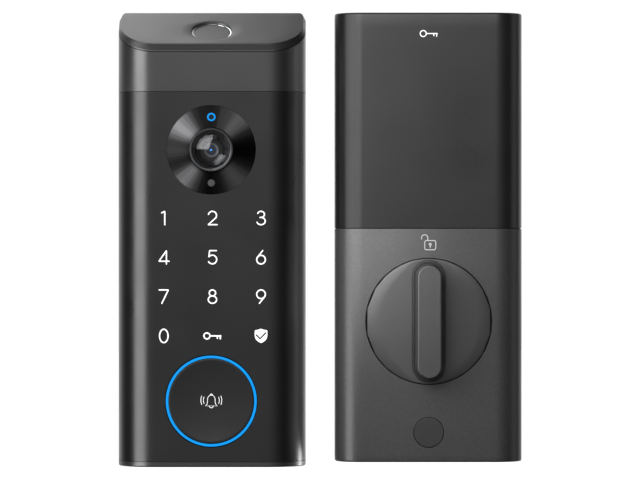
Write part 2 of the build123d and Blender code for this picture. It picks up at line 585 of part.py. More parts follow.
# ---- Build and export -----------------------------------------------------------------------------------
def main():
    """Builds both units and writes one STEP file for each sub-part."""
    make_exterior_shells()
    make_fingerprint_sensor()
    make_camera()
    make_keypad()
    make_doorbell()
    make_exterior_boards()
    make_key_drive()
    exterior_names = set(PARTS)
    make_interior_shells()
    make_thumb_turn()
    make_gear_train()
    make_lock_button()
    make_battery_and_board()
    os.makedirs("parts", exist_ok=True)
    for name, shape in PARTS.items():
        if name not in exterior_names:
            shape = Pos(UNIT_SPACING, 0, 0) * shape
        export_step(shape, f"parts/{name}.step")
    print(len(PARTS), "sub-parts written")


main()
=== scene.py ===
"""A keypad smart lock in its two halves, dressed for a studio picture.

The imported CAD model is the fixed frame.  This script lays the visible shells, rings, lenses, printed
digits and finishes over it.  Lengths are in millimetres until a mesh is written; X runs to the right,
Z up and Y into the door, so a depth of d, counted from the door towards the viewer, lies at Y = -d.
"""

from __future__ import annotations

import json
import logging
import math
from dataclasses import dataclass, field
from enum import Enum
from typing import Callable, Sequence

import bmesh
import bpy
import numpy as np
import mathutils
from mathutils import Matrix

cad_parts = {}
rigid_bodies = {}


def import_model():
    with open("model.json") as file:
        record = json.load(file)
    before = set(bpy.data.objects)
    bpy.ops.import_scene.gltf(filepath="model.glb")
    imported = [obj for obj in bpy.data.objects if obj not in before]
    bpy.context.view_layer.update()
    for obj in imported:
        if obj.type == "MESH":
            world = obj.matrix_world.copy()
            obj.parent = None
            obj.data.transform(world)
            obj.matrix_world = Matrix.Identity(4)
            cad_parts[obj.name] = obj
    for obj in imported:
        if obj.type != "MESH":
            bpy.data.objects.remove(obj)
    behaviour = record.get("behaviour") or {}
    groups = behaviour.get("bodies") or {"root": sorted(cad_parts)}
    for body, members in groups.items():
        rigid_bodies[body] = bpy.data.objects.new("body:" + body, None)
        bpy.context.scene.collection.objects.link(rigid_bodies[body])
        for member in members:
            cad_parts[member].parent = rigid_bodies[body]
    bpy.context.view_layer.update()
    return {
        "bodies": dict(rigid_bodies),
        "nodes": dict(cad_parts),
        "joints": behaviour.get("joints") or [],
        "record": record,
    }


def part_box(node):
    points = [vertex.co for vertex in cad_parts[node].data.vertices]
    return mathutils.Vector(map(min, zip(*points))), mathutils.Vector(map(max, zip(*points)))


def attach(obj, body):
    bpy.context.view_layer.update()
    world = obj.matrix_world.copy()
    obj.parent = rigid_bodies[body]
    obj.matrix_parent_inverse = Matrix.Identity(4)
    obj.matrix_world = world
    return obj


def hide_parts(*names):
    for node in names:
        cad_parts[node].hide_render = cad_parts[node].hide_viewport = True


LOG = logging.getLogger("smart_lock")
MM = 0.001
Vector = Sequence[float]
Array = np.ndarray
Obj = bpy.types.Object
Socket = bpy.types.NodeSocket


class Body(Enum):
    """The moving bodies that pieces ride on."""

    EXTERIOR = "exterior_unit"
    DOORBELL = "doorbell"
    INTERIOR = "interior_unit"
    COVER = "cover"
    THUMB_TURN = "thumb_turn"
    LOCK_BUTTON = "lock_button"
    SPINDLE = "spindle"
    KEY = "key"


class Slot(Enum):
    """The record's material slots, passed along with each new piece but not used to set its finish."""

    GRAPHITE = "graphite_satin"
    PANEL = "panel_black"
    DARK = "dark_plastic"
    GLASS = "glass_dark"
    PRINT = "light_guide"
    BLUE = "blue_light"
    BRIGHT = "bright_ring"
    PAD = "sensor_pad"
    RUBBER = "rubber"
    GREY = "interior_grey"
    ZINC = "zinc"
    STEEL = "steel"
    BRASS = "brass"
    WRAP = "battery_wrap"


# ---- Shapes on a grid ---------------------------------------------------------------------------------
def arc(centre: Vector, radii: Vector, start: float, stop: float, steps: int) -> Array:
    """An ellipse's arc: its centre plus each radius times the cosine or the sine of the angle.

    Args:
        centre: The ellipse's centre.
        radii: Its two half axes.
        start: First angle in degrees.
        stop: Last angle in degrees.
        steps: How many chords stand for the arc.

    Returns:
        An array of (steps + 1, 2) points.
    """
    turn = np.radians(np.linspace(start, stop, steps + 1))
    return np.column_stack([centre[0] + radii[0] * np.cos(turn), centre[1] + radii[1] * np.sin(turn)])


def strung(*parts: Array) -> Array:
    """The given pieces of path in one string, without the points that repeat."""
    path = np.vstack(parts)
    apart = np.linalg.norm(np.diff(path, axis=0), axis=1) > 1e-6
    return path[np.r_[True, apart]]


def rounded(points: Sequence[Vector], radius: float, closed: bool = False, steps: int = 5) -> Array:
    """A polyline with its corners turned into arcs.

    Each arc touches both legs at the tangent length, the radius over the tangent of half the corner's
    angle, and turns about the point where the squares to the legs meet.  Short legs shrink the radius.

    Args:
        points: The corners.
        radius: The wanted radius.
        closed: Whether the last corner joins the first.
        steps: Chords in each arc.

    Returns:
        The rounded path, with its first point repeated at the end if it is closed.
    """
    corner = np.asarray(points, float)
    before, after = np.roll(corner, 1, 0) - corner, np.roll(corner, -1, 0) - corner
    reach = np.minimum(np.linalg.norm(before, axis=1), np.linalg.norm(after, axis=1)) * 0.48
    before /= np.linalg.norm(before, axis=1)[:, None]
    after /= np.linalg.norm(after, axis=1)[:, None]
    half = np.arccos(np.clip((before * after).sum(1), -0.99999, 0.99999)) / 2
    tangent = np.minimum(radius / np.tan(half), reach)
    bisector = before + after
    bisector /= np.maximum(np.linalg.norm(bisector, axis=1), 1e-9)[:, None]
    middle = corner + bisector * (tangent / np.cos(half))[:, None]
    first, last = corner + before * tangent[:, None] - middle, corner + after * tangent[:, None] - middle
    start = np.arctan2(first[:, 1], first[:, 0])
    sweep = np.angle(np.exp(1j * (np.arctan2(last[:, 1], last[:, 0]) - start)))
    angle = start[:, None] + sweep[:, None] * np.linspace(0, 1, steps + 1)
    size = np.linalg.norm(first, axis=1)[:, None]
    arcs = middle[:, None] + np.stack([size * np.cos(angle), size * np.sin(angle)], -1)
    if closed:
        return strung(arcs.reshape(-1, 2), arcs[0, :1])
    return strung(corner[:1], arcs[1:-1].reshape(-1, 2), corner[-1:])


def side_normals(path: Array, closed: bool) -> Array:
    """Unit vectors square to a path, on its right, from the sum of the two neighbouring directions.

    Args:
        path: Points of the path; a closed one repeats its first point at the end.
        closed: Whether the two ends are one point.

    Returns:
        One unit vector for each point.
    """
    leg = np.diff(path, axis=0)
    leg /= np.linalg.norm(leg, axis=1)[:, None]
    first, last = (leg[-1], leg[0]) if closed else (leg[0], leg[-1])
    along = np.vstack([first, leg]) + np.vstack([leg, last])
    along /= np.linalg.norm(along, axis=1)[:, None]
    return np.column_stack([along[:, 1], -along[:, 0]])


def blend_rows(first: Array, last: Array, shares: Array) -> Array:
    """Rows between two rows of points: one minus the share of the first plus the share of the last."""
    share = np.asarray(shares)[None, :, None]
    return first[:, None] * (1 - share) + last[:, None] * share


@dataclass(frozen=True)
class Extent:
    """A CAD node's box in millimetres, with depths counted from the door towards the viewer."""

    left: float
    right: float
    rear: float
    front: float
    low: float
    high: float

    @classmethod
    def of(cls, node: str) -> "Extent":
        """The box of one CAD node."""
        lo, hi = (np.array(corner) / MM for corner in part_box(node))
        return cls(lo[0], hi[0], -hi[1], -lo[1], lo[2], hi[2])

    @property
    def x(self) -> float:
        """The middle of the width."""
        return (self.left + self.right) / 2

    @property
    def z(self) -> float:
        """The middle of the height."""
        return (self.low + self.high) / 2


@dataclass(frozen=True)
class Spot:
    """A place to turn or lay a shape: an origin with directions to the right, up and outwards."""

    origin: tuple[float, float, float]
    up: tuple[float, float, float] = (0.0, 0.0, 1.0)
    out: tuple[float, float, float] = (0.0, -1.0, 0.0)
    right: tuple[float, float, float] = (1.0, 0.0, 0.0)

    def at(self, across: Array, along: Array, height: Array) -> Array:
        """The origin plus each distance times its direction, for whole arrays."""
        parts = zip((across, along, height), (self.right, self.up, self.out))
        return np.array(self.origin) + sum(np.asarray(a, float)[..., None] * np.array(d) for a, d in parts)


def shaded(name: str, mesh: bpy.types.Mesh, work: bmesh.types.BMesh, sharp: float) -> Obj:
    """Turns faces to agree with their neighbours, writes them to a mesh and makes its object.

    Args:
        name: The object's name.
        mesh: The mesh to write.
        work: The faces, freed afterwards.
        sharp: Edges that turn more than this many degrees are shaded as sharp.

    Returns:
        The object, linked to the scene.
    """
    bmesh.ops.recalc_face_normals(work, faces=work.faces)
    work.to_mesh(mesh)
    work.free()
    mesh.polygons.foreach_set("use_smooth", np.ones(len(mesh.polygons), bool))
    mesh.set_sharp_from_angle(angle=math.radians(sharp))
    obj = bpy.data.objects.new(name, mesh)
    bpy.context.scene.collection.objects.link(obj)
    return obj


class Skin:
    """Grids of points that are welded into one mesh."""

    def __init__(self) -> None:
        """Starts with no grid."""
        self._points: list[Array] = []
        self._quads: list[Array] = []
        self._uvs: list[Array] = []
        self._count = 0

    def grid(self, points: Array) -> "Skin":
        """Adds a grid, with a face between each two rows and two columns.

        Args:
            points: An array of (columns, rows, 3) points in millimetres.

        Returns:
            The same skin, so that calls can be chained.
        """
        columns, rows = points.shape[:2]
        index = np.arange(columns * rows).reshape(columns, rows) + self._count
        quads = np.stack([index[:-1, :-1], index[1:, :-1], index[1:, 1:], index[:-1, 1:]], -1)
        across, along = np.meshgrid(np.linspace(0, 1, columns), np.linspace(0, 1, rows), indexing="ij")
        uv = np.stack([across, along], -1)
        corners = np.stack([uv[:-1, :-1], uv[1:, :-1], uv[1:, 1:], uv[:-1, 1:]], 2)
        self._points.append(points.reshape(-1, 3))
        self._quads.append(quads.reshape(-1, 4))
        self._uvs.append(corners.reshape(-1, 2))
        self._count += columns * rows
        return self

    def build(self, name: str, heart: Vector | None = None, sharp: float = 38.0) -> Obj:
        """Welds the grids, turns the faces outwards and makes the object.

        Args:
            name: The piece's name.
            heart: A point that the faces look away from; without it, the middle of the points.
            sharp: Edges that turn more than this many degrees are shaded as sharp.

        Returns:
            The object, at the origin, with its place in its mesh.
        """
        points = np.vstack(self._points) * MM
        mesh = bpy.data.meshes.new(name)
        mesh.from_pydata(points, [], np.vstack(self._quads))
        layer = mesh.uv_layers.new(name="surface")
        layer.uv.foreach_set("vector", np.vstack(self._uvs).astype(np.float32).ravel())
        work = bmesh.new()
        work.from_mesh(mesh)
        bmesh.ops.remove_doubles(work, verts=work.verts, dist=2e-7)
        bmesh.ops.dissolve_degenerate(work, edges=work.edges, dist=1e-7)
        obj = shaded(name, mesh, work, sharp)
        count = len(mesh.polygons)
        centre, normal, area = (np.empty(count * k, np.float32) for k in (3, 3, 1))
        for measure, values in (("center", centre), ("normal", normal), ("area", area)):
            mesh.polygons.foreach_get(measure, values)
        away = centre.reshape(-1, 3) - (points.mean(0) if heart is None else np.array(heart) * MM)
        if ((away * normal.reshape(-1, 3)).sum(1) * area).sum() < 0:
            mesh.flip_normals()
        return obj


def turned(spot: Spot, profile: Array, steps: int) -> Skin:
    """A surface of revolution: radius times the cosine and sine of the angle, at the profile's height.

    Args:
        spot: The axis, through its origin and along its outward direction.
        profile: (radius, height) points.
        steps: Columns round the axis.

    Returns:
        The skin, with its UV running round the axis and along the profile.
    """
    turn = np.linspace(0, 2 * np.pi, steps + 1)[:, None]
    radius, height = profile[None, :, 0], profile[None, :, 1]
    flat = np.zeros_like(turn)
    return Skin().grid(spot.at(radius * np.cos(turn), radius * np.sin(turn), height + flat))


def stacked(spot: Spot, outline: Array, rows: Array, caps: bool = False) -> Skin:
    """Rings of a closed outline: each is drawn in along its normals by an inset, and raised to a height.

    Args:
        spot: Where the outline lies.
        outline: Closed path, anticlockwise seen from outside, with its first point repeated.
        rows: (inset, height) of each ring.
        caps: Whether the first and last rings are closed towards the outline's middle.

    Returns:
        The skin.
    """
    normal = side_normals(outline, True)
    ring = outline[:, None] - normal[:, None] * rows[None, :, :1]
    height = np.broadcast_to(rows[None, :, 1], ring.shape[:2])
    if caps:
        middle = np.broadcast_to(outline[:-1].mean(0), (len(outline), 1, 2))
        ring = np.concatenate([middle, ring, middle], 1)
        height = np.concatenate([height[:, :1], height, height[:, -1:]], 1)
    return Skin().grid(spot.at(ring[..., 0], ring[..., 1], height))


def ribbon(spot: Spot, path: Array, width: float, height: float, skin: Skin) -> None:
    """A flat stroke with round ends: half the width to each side of the path, tapering over the ends
    as the square root of one minus the square of the distance past the end over half the width.

    Args:
        spot: Where the stroke lies; its heights are the surface that it is printed on.
        path: The centre line; a closed one repeats its first point at the end.
        width: The stroke's width.
        height: How far it stands proud.
        skin: The skin that the stroke is added to.
    """
    closed = np.linalg.norm(path[0] - path[-1]) < 1e-6
    reach = np.full(len(path), width / 2)
    if not closed:
        past = np.sin(np.radians([90, 70, 50, 30, 12])) * width / 2
        taper = np.sqrt(np.clip((width / 2) ** 2 - past**2, 0, None))
        start, end = (path[0] - path[1], path[-1] - path[-2])
        start, end = start / np.linalg.norm(start), end / np.linalg.norm(end)
        path = np.vstack([path[0] + start * past[:, None], path, path[-1] + end * past[::-1, None]])
        reach = np.concatenate([taper, reach, taper[::-1]])
    normal = side_normals(path, closed)
    share = np.array([-1.0, -0.9, 0.9, 1.0, -1.0])
    level = np.array([-0.06, height, height, -0.06, -0.06])
    points = path[:, None] + normal[:, None] * (reach[:, None] * share)[..., None]
    skin.grid(spot.at(points[..., 0], points[..., 1], np.broadcast_to(level, points.shape[:2])))


# ---- Casings ------------------------------------------------------------------------------------------
@dataclass(frozen=True)
class Plan:
    """A unit's outline seen from above: a flat front, round front corners and elliptical rear ones."""

    half_width: float
    front: float
    front_radius: float
    rear: float
    rear_corner: tuple[float, float]

    @property
    def flat(self) -> float:
        """Half the width of the flat front."""
        return self.half_width - self.front_radius

    def half(self, cut: float) -> tuple[Array, Array]:
        """The right side, from the flat front's edge to the depth where it is cut off.

        Args:
            cut: The depth of the shell's rear edge.

        Returns:
            The points as (x, depth), and the outward unit normals.
        """
        across, along = self.rear_corner
        turn = np.radians(np.linspace(90, 0, 37))
        front_normal = np.column_stack([np.cos(turn), np.sin(turn)])
        front = [self.flat, self.front - self.front_radius] + self.front_radius * front_normal
        level = self.rear + along
        side = np.column_stack([np.full(4, self.half_width), np.linspace(front[-1, 1], level, 6)[1:-1]])
        last = -math.asin(min(1.0, max(0.0, (level - cut) / along)))
        turn = np.linspace(0, last, 13)
        x = self.half_width - across + across * np.cos(turn)
        rear = np.column_stack([x, level + along * np.sin(turn)])
        rear_normal = np.column_stack([np.cos(turn) / across, np.sin(turn) / along])
        rear_normal /= np.linalg.norm(rear_normal, axis=1)[:, None]
        side_normal = np.tile([1.0, 0.0], (len(side), 1))
        return np.vstack([front, side, rear]), np.vstack([front_normal, side_normal, rear_normal])

    def around(self, cut: float, columns: int) -> tuple[Array, Array, int]:
        """The outline from the left rear edge round the front to the right one.

        Args:
            cut: The depth of the shell's rear edge.
            columns: How many columns the flat front has.

        Returns:
            The points, their outward normals, and the index of the flat front's left edge.
        """
        right, right_normal = self.half(cut)
        across = np.linspace(-self.flat, self.flat, columns + 1)[1:-1]
        flat = np.column_stack([across, np.full(columns - 1, self.front)])
        flat_normal = np.tile([0.0, 1.0], (columns - 1, 1))
        mirror = np.array([-1.0, 1.0])
        points = np.vstack([right[::-1] * mirror, flat, right])
        normals = np.vstack([right_normal[::-1] * mirror, flat_normal, right_normal])
        return points, normals, len(right) - 1


@dataclass(frozen=True)
class Zone:
    """A stretch of the flat front between two heights, plain or with one round hole in it."""

    low: float
    high: float
    rows: int
    hole: float = 0.0
    centre: float = 0.0


@dataclass
class Casing:
    """A wrap-round shell with a wall, open at the rear and at its lower end."""

    plan: Plan
    zones: list[Zone]
    wall: float
    cut: float
    closed: bool = False
    fillet: float = 0.8
    columns: int = 44
    sign: float = 1.0
    x: float = 0.0
    lift: Callable[[Array, Array], Array] = field(default=lambda z, depth: z)

    def _solid(self, plan_points: Array, z: Array) -> Array:
        """Points in space from (x, depth) and a height."""
        height = self.lift(z, plan_points[..., 1])
        height = height * np.ones(plan_points.shape[:-1])
        return np.stack([plan_points[..., 0] + self.x, -plan_points[..., 1], height], -1)

    def _front(self, zone: Zone, inset: float, z: Callable[[float], float]) -> tuple[Array, Array | None]:
        """One zone of the flat front.

        Args:
            zone: The stretch of the front.
            inset: How far behind the front it lies.
            z: Turns a zone height into the surface's own.

        Returns:
            The zone's grid, and its hole's ring if it has one.
        """
        flat, depth = self.plan.flat, self.plan.front - inset
        x = np.linspace(-flat, flat, self.columns + 1)
        rows = np.linspace(z(zone.low), z(zone.high), zone.rows + 1)
        if not zone.hole:
            plan_points = np.stack(np.broadcast_arrays(x[:, None], depth + 0 * rows[None]), -1)
            return self._solid(plan_points, np.broadcast_to(rows, (len(x), len(rows)))), None
        bottom, top = np.column_stack([x, 0 * x + rows[0]]), np.column_stack([x[::-1], 0 * x + rows[-1]])
        right, left = (np.column_stack([0 * rows + s * flat, rows[::s]]) for s in (1, -1))
        edge = np.vstack([bottom, right[1:], top[1:], left[1:]])
        centre = zone.centre * self.sign
        turn = np.arctan2(edge[:, 1] - centre, edge[:, 0])
        ring = np.column_stack([zone.hole * np.cos(turn), centre + zone.hole * np.sin(turn)])
        grid = blend_rows(ring, edge, np.array([0, 0.04, 0.12, 0.3, 0.55, 0.8, 1.0]))
        plan_points = np.stack([grid[..., 0], np.full(grid.shape[:2], depth)], -1)
        solid = self._solid(plan_points, grid[..., 1])
        return solid, solid[:, 0]

    def skin(self) -> Skin:
        """The outer and inner surfaces, the walls of the holes, and the strips that join the edges.

        Returns:
            A closed skin.
        """
        points, normals, first = self.plan.around(self.cut, self.columns)
        last = first + self.columns
        end, skin, edges, rims, mouths = self.zones[-1].high, Skin(), [], [], []
        for inset in (0.0, self.wall):
            top = end - (inset if self.closed else 0.0)
            rise = lambda z, top=top: min(z, top) * self.sign
            straight = np.unique(np.concatenate([np.linspace(q.low, q.high, q.rows + 1) for q in self.zones]))
            straight = np.minimum(straight, top if inset else end - self.fillet * self.closed)
            ring = points - normals * inset
            body = self._solid(np.repeat(ring[:, None], len(straight), 1), self.sign * straight[None])
            skin.grid(body[: first + 1]).grid(body[last:])
            for zone in self.zones:
                grid, mouth = self._front(zone, inset, rise if inset else lambda z: self._capped(z, end))
                skin.grid(grid)
                if mouth is not None:
                    mouths.append(mouth)
            left, right = body[0], body[-1]
            if self.closed:
                lid = self._lid(points, normals, inset, top)
                skin.grid(lid)
                left, right = np.vstack([left, lid[0, 1:]]), np.vstack([right, lid[-1, 1:]])
            edges.append((left, right))
            rims.append((body[:, 0], body[:, -1]))
        for outer, inner in zip(edges[0], edges[1]):
            skin.grid(np.stack([outer, inner], 1))
        skin.grid(np.stack([rims[0][0], rims[1][0]], 1))
        if not self.closed:
            skin.grid(np.stack([rims[0][1], rims[1][1]], 1))
        holes = len(mouths) // 2
        for outer, inner in zip(mouths[:holes], mouths[holes:]):
            skin.grid(np.stack([outer, inner], 1))
        return skin

    def _capped(self, z: float, end: float) -> float:
        """A zone height on the outer surface, which stops where the end's fillet starts."""
        return min(z, end - self.fillet * self.closed) * self.sign

    def _lid(self, points: Array, normals: Array, inset: float, top: float) -> Array:
        """The closed end: a quarter round, then rings that shrink to the middle of the rear edge.

        Args:
            points: The outline.
            normals: Its outward normals.
            inset: 0 for the outer surface, or the wall for the inner one.
            top: The height of the end's flat.

        Returns:
            The grid from the straight part's last row to the pole.
        """
        turn = np.radians(np.linspace(0, 90, 7))
        draw = inset if inset else self.fillet * (1 - np.cos(turn))
        height = top if inset else top - self.fillet + self.fillet * np.sin(turn)
        draw, height = np.broadcast_to(draw, turn.shape), np.broadcast_to(height, turn.shape)
        rings = points[:, None] - normals[:, None] * draw[None, :, None]
        rings[[0, -1], :, 1] = np.minimum(rings[[0, -1], :, 1], self.cut + inset * 0.05)
        pole = np.array([0.0, rings[0, -1, 1]])
        share = np.array([0.7, 0.4, 0.0])[None, :, None]
        fan = pole + (rings[:, -1:] - pole) * share
        rings = np.concatenate([rings, fan], 1)
        height = np.concatenate([height, np.full(3, height[-1])])
        return self._solid(rings, self.sign * height[None])


# ---- Finishes -----------------------------------------------------------------------------------------
class Nodes:
    """A material's node tree while it is being made."""

    def __init__(self, name: str, **sockets: object) -> None:
        """Makes a material, sets its principled shader's sockets and finds the object coordinates."""
        self.material = bpy.data.materials.new(name)
        self.material.use_nodes = True
        self.tree = self.material.node_tree
        self.shader = self.fill(self.tree.nodes["Principled BSDF"], **sockets)
        self.place = self.add("TexCoord").outputs["Object"]

    def add(self, kind: str, **inputs: object) -> bpy.types.Node:
        """Adds a node, named without its usual first word, and fills its inputs."""
        return self.fill(self.tree.nodes.new("ShaderNode" + kind), **inputs)

    def fill(self, node: bpy.types.Node, **inputs: object) -> bpy.types.Node:
        """Sets a node's inputs, or links sockets to them.

        Args:
            node: The node.
            **inputs: Values or sockets, by the input's name with underscores for spaces.

        Returns:
            The same node.
        """
        for name, value in inputs.items():
            socket = node.inputs[name.replace("_", " ")]
            if isinstance(value, Socket):
                self.tree.links.new(value, socket)
            else:
                socket.default_value = value
        return node

    def noise(self, scale: float, detail: float = 2.0) -> Socket:
        """Noise in object space, of so many cells to the metre."""
        return self.add("TexNoise", Vector=self.place, Scale=scale, Detail=detail).outputs["Fac"]

    def spread(self, value: Socket, low: float, high: float, first: float = 0.3, last: float = 0.7) -> Socket:
        """The stretch of a noise between first and last, mapped to a range."""
        node = self.add("MapRange", Value=value, From_Min=first, From_Max=last, To_Min=low, To_Max=high)
        return node.outputs["Result"]

    def tint(self, share: Socket, first: Vector, last: Vector) -> Socket:
        """A colour between two, by a share.

        Args:
            share: 0 for the first colour, 1 for the last.
            first: One colour.
            last: The other colour.

        Returns:
            The mixed colour.
        """
        node = self.add("Mix")
        node.data_type = "RGBA"
        colour = [s for s in node.inputs if s.type == "RGBA"]
        self.tree.links.new(share, node.inputs[0])
        colour[0].default_value, colour[1].default_value = (*first, 1.0), (*last, 1.0)
        return next(s for s in node.outputs if s.type == "RGBA")

    def bump(self, height: Socket, strength: float, distance: float) -> None:
        """Sets the shader's normal from a height, over whatever bump it already has.

        Args:
            height: The height.
            strength: The bump's strength.
            distance: What a height of 1 stands for, in millimetres.
        """
        node = self.add("Bump", Height=height, Strength=strength, Distance=distance * MM)
        links = self.shader.inputs["Normal"].links
        if links:
            self.fill(node, Normal=links[0].from_socket)
        self.fill(self.shader, Normal=node.outputs["Normal"])


@dataclass(frozen=True)
class Finish:
    """A painted, moulded or plated surface: its colour and gloss, each broken up by noise."""

    name: str
    colour: Vector
    roughness: float
    metallic: float = 0.0
    specular: float = 0.5
    grain: float = 0.25
    relief: float = 0.12
    mottle: float = 0.04
    shade: float = 0.12
    coat: float = 0.0
    coat_roughness: float = 0.2
    flake: float = 0.0
    flake_size: float = 0.22

    def material(self) -> bpy.types.Material:
        """Fine grain in bump and colour, broad mottle in gloss, and bright cells for flakes.

        Returns:
            The material.
        """
        nodes = Nodes(self.name, Metallic=self.metallic, Specular_IOR_Level=self.specular,
                      Coat_Weight=self.coat, Coat_Roughness=self.coat_roughness)
        broad = nodes.noise(45.0, 4.0)
        gloss = nodes.spread(broad, self.roughness - self.mottle, self.roughness + self.mottle)
        fine = nodes.noise(1.0 / (self.grain * MM), 3.0)
        share, glow = nodes.spread(fine, 0.0, 1.0), self.shade
        if self.flake:
            size = self.flake_size * MM
            cells = nodes.add("TexVoronoi", Vector=nodes.place, Scale=1.0 / size).outputs["Color"]
            share, glow = nodes.spread(cells, 0.0, 1.0, 0.55, 1.0), self.flake
            nodes.bump(cells, 0.25, 0.02)
        dark, light = ([c * k for c in self.colour] for k in (1 - self.shade, 1 + glow))
        nodes.fill(nodes.shader, Roughness=gloss, Base_Color=nodes.tint(share, dark, light))
        nodes.bump(fine, self.relief, 0.02)
        return nodes.material


@dataclass(frozen=True)
class SpunFinish:
    """A dark turned surface: fine rings along its profile, and a base colour that changes round the axis,
    which is painted highlight rays where its levels differ.
    """

    name: str
    roughness: float
    rings: float
    tone_and_painted_rays: tuple[tuple[float, float], ...]
    metallic: float = 0.9
    specular: float = 0.5
    relief: float = 0.1

    def material(self) -> bpy.types.Material:
        """A ramp of base colour round the piece's own map, with fine streaks, and noise along the profile;
        uneven levels are painted highlight rays.

        Returns:
            The material.
        """
        nodes = Nodes(self.name, Metallic=self.metallic, Specular_IOR_Level=self.specular)
        chart = nodes.add("UVMap")
        chart.uv_map = "surface"
        parts = nodes.add("SeparateXYZ", Vector=chart.outputs["UV"]).outputs
        waves = {}
        for axis, scale in (("X", 70.0), ("Y", self.rings)):
            wave = nodes.add("TexNoise", Scale=scale, Detail=2.0)
            wave.noise_dimensions = "1D"
            waves[axis] = nodes.fill(wave, W=parts[axis]).outputs["Fac"]
        turn = nodes.add("Math", Value=parts["X"])
        nodes.tree.links.new(nodes.spread(waves["X"], -0.006, 0.006), turn.inputs[1])
        ramp = nodes.add("ValToRGB", Fac=turn.outputs[0])
        stops = ramp.color_ramp.elements
        ramp.color_ramp.interpolation = "B_SPLINE" if len(self.tone_and_painted_rays) > 2 else "LINEAR"
        for angle, _ in self.tone_and_painted_rays[1:-1]:
            stops.new(angle / 360.0)
        # Each level is the base colour at one angle; on the camera cone these levels are painted highlight
        # rays.
        for stop, (_, level) in zip(stops, self.tone_and_painted_rays):
            stop.color = (level, level, level * 1.03, 1.0)
        gloss = nodes.spread(waves["Y"], self.roughness - 0.04, self.roughness + 0.06)
        nodes.fill(nodes.shader, Roughness=gloss, Base_Color=ramp.outputs["Color"])
        nodes.bump(waves["Y"], self.relief, 0.02)
        return nodes.material


@dataclass(frozen=True)
class CoverGlassFinish:
    """A clear cover: its surface reflects by the Fresnel share and lets the rest through."""

    name: str
    clearness: float = 0.9
    roughness: float = 0.03

    def material(self) -> bpy.types.Material:
        """A mirror with faint smears, mixed with a transparent shader.

        Returns:
            The material.
        """
        nodes = Nodes(self.name, Metallic=1.0)
        smear = nodes.noise(260.0, 3.0)
        nodes.fill(nodes.shader, Roughness=nodes.spread(smear, self.roughness * 0.6, self.roughness * 1.6),
                   Base_Color=nodes.tint(smear, (0.94, 0.95, 1.0), (1.0, 1.0, 1.0)))
        nodes.bump(smear, 0.004, 0.01)
        clear = nodes.add("BsdfTransparent", Color=(self.clearness,) * 3 + (1.0,))
        mix = nodes.add("MixShader", Fac=nodes.add("Fresnel", IOR=1.55).outputs[0])
        nodes.tree.links.new(clear.outputs[0], mix.inputs[1])
        nodes.tree.links.new(nodes.shader.outputs[0], mix.inputs[2])
        nodes.fill(nodes.tree.nodes["Material Output"], Surface=mix.outputs[0])
        return nodes.material


@dataclass(frozen=True)
class GlassFinish:
    """Polished dark glass, or coated optics, with faint smears in its gloss."""

    name: str
    colour: Vector
    transmission: float
    index: float = 1.5
    roughness: float = 0.02
    coating: Vector = (1.0, 1.0, 1.0)

    def material(self) -> bpy.types.Material:
        """A smear noise in the roughness and a very weak ripple in the bump.

        Returns:
            The material.
        """
        nodes = Nodes(self.name, Transmission_Weight=self.transmission, IOR=self.index,
                      Specular_Tint=(*self.coating, 1.0))
        smear = nodes.noise(260.0, 3.0)
        colour = nodes.tint(nodes.spread(smear, 0.0, 1.0), [c * 0.9 for c in self.colour], self.colour)
        gloss = nodes.spread(smear, self.roughness * 0.5, self.roughness * 2.0)
        nodes.fill(nodes.shader, Roughness=gloss, Base_Color=colour)
        nodes.bump(smear, 0.02, 0.01)
        return nodes.material


@dataclass(frozen=True)
class LitFinish:
    """A frosted lamp surface or lit print, with a slightly uneven glow; on print with no lamp behind it the
    glow is painted light.
    """

    name: str
    colour: Vector
    strength: float
    base: Vector = (0.6, 0.6, 0.6)

    def material(self) -> bpy.types.Material:
        """Emission whose colour varies a little with a soft noise.

        Returns:
            The material.
        """
        nodes = Nodes(self.name, Emission_Strength=self.strength, Specular_IOR_Level=0.15)
        glow = nodes.spread(nodes.noise(300.0), 0.0, 1.0)
        lamp = nodes.tint(glow, [c * 0.93 for c in self.colour], self.colour)
        base = nodes.tint(glow, [c * 0.9 for c in self.base], self.base)
        gloss = nodes.spread(nodes.noise(2500.0), 0.5, 0.65)
        nodes.fill(nodes.shader, Emission_Color=lamp, Base_Color=base, Roughness=gloss)
        nodes.bump(nodes.noise(5000.0), 0.05, 0.01)
        return nodes.material


Look = Finish | SpunFinish | CoverGlassFinish | GlassFinish | LitFinish


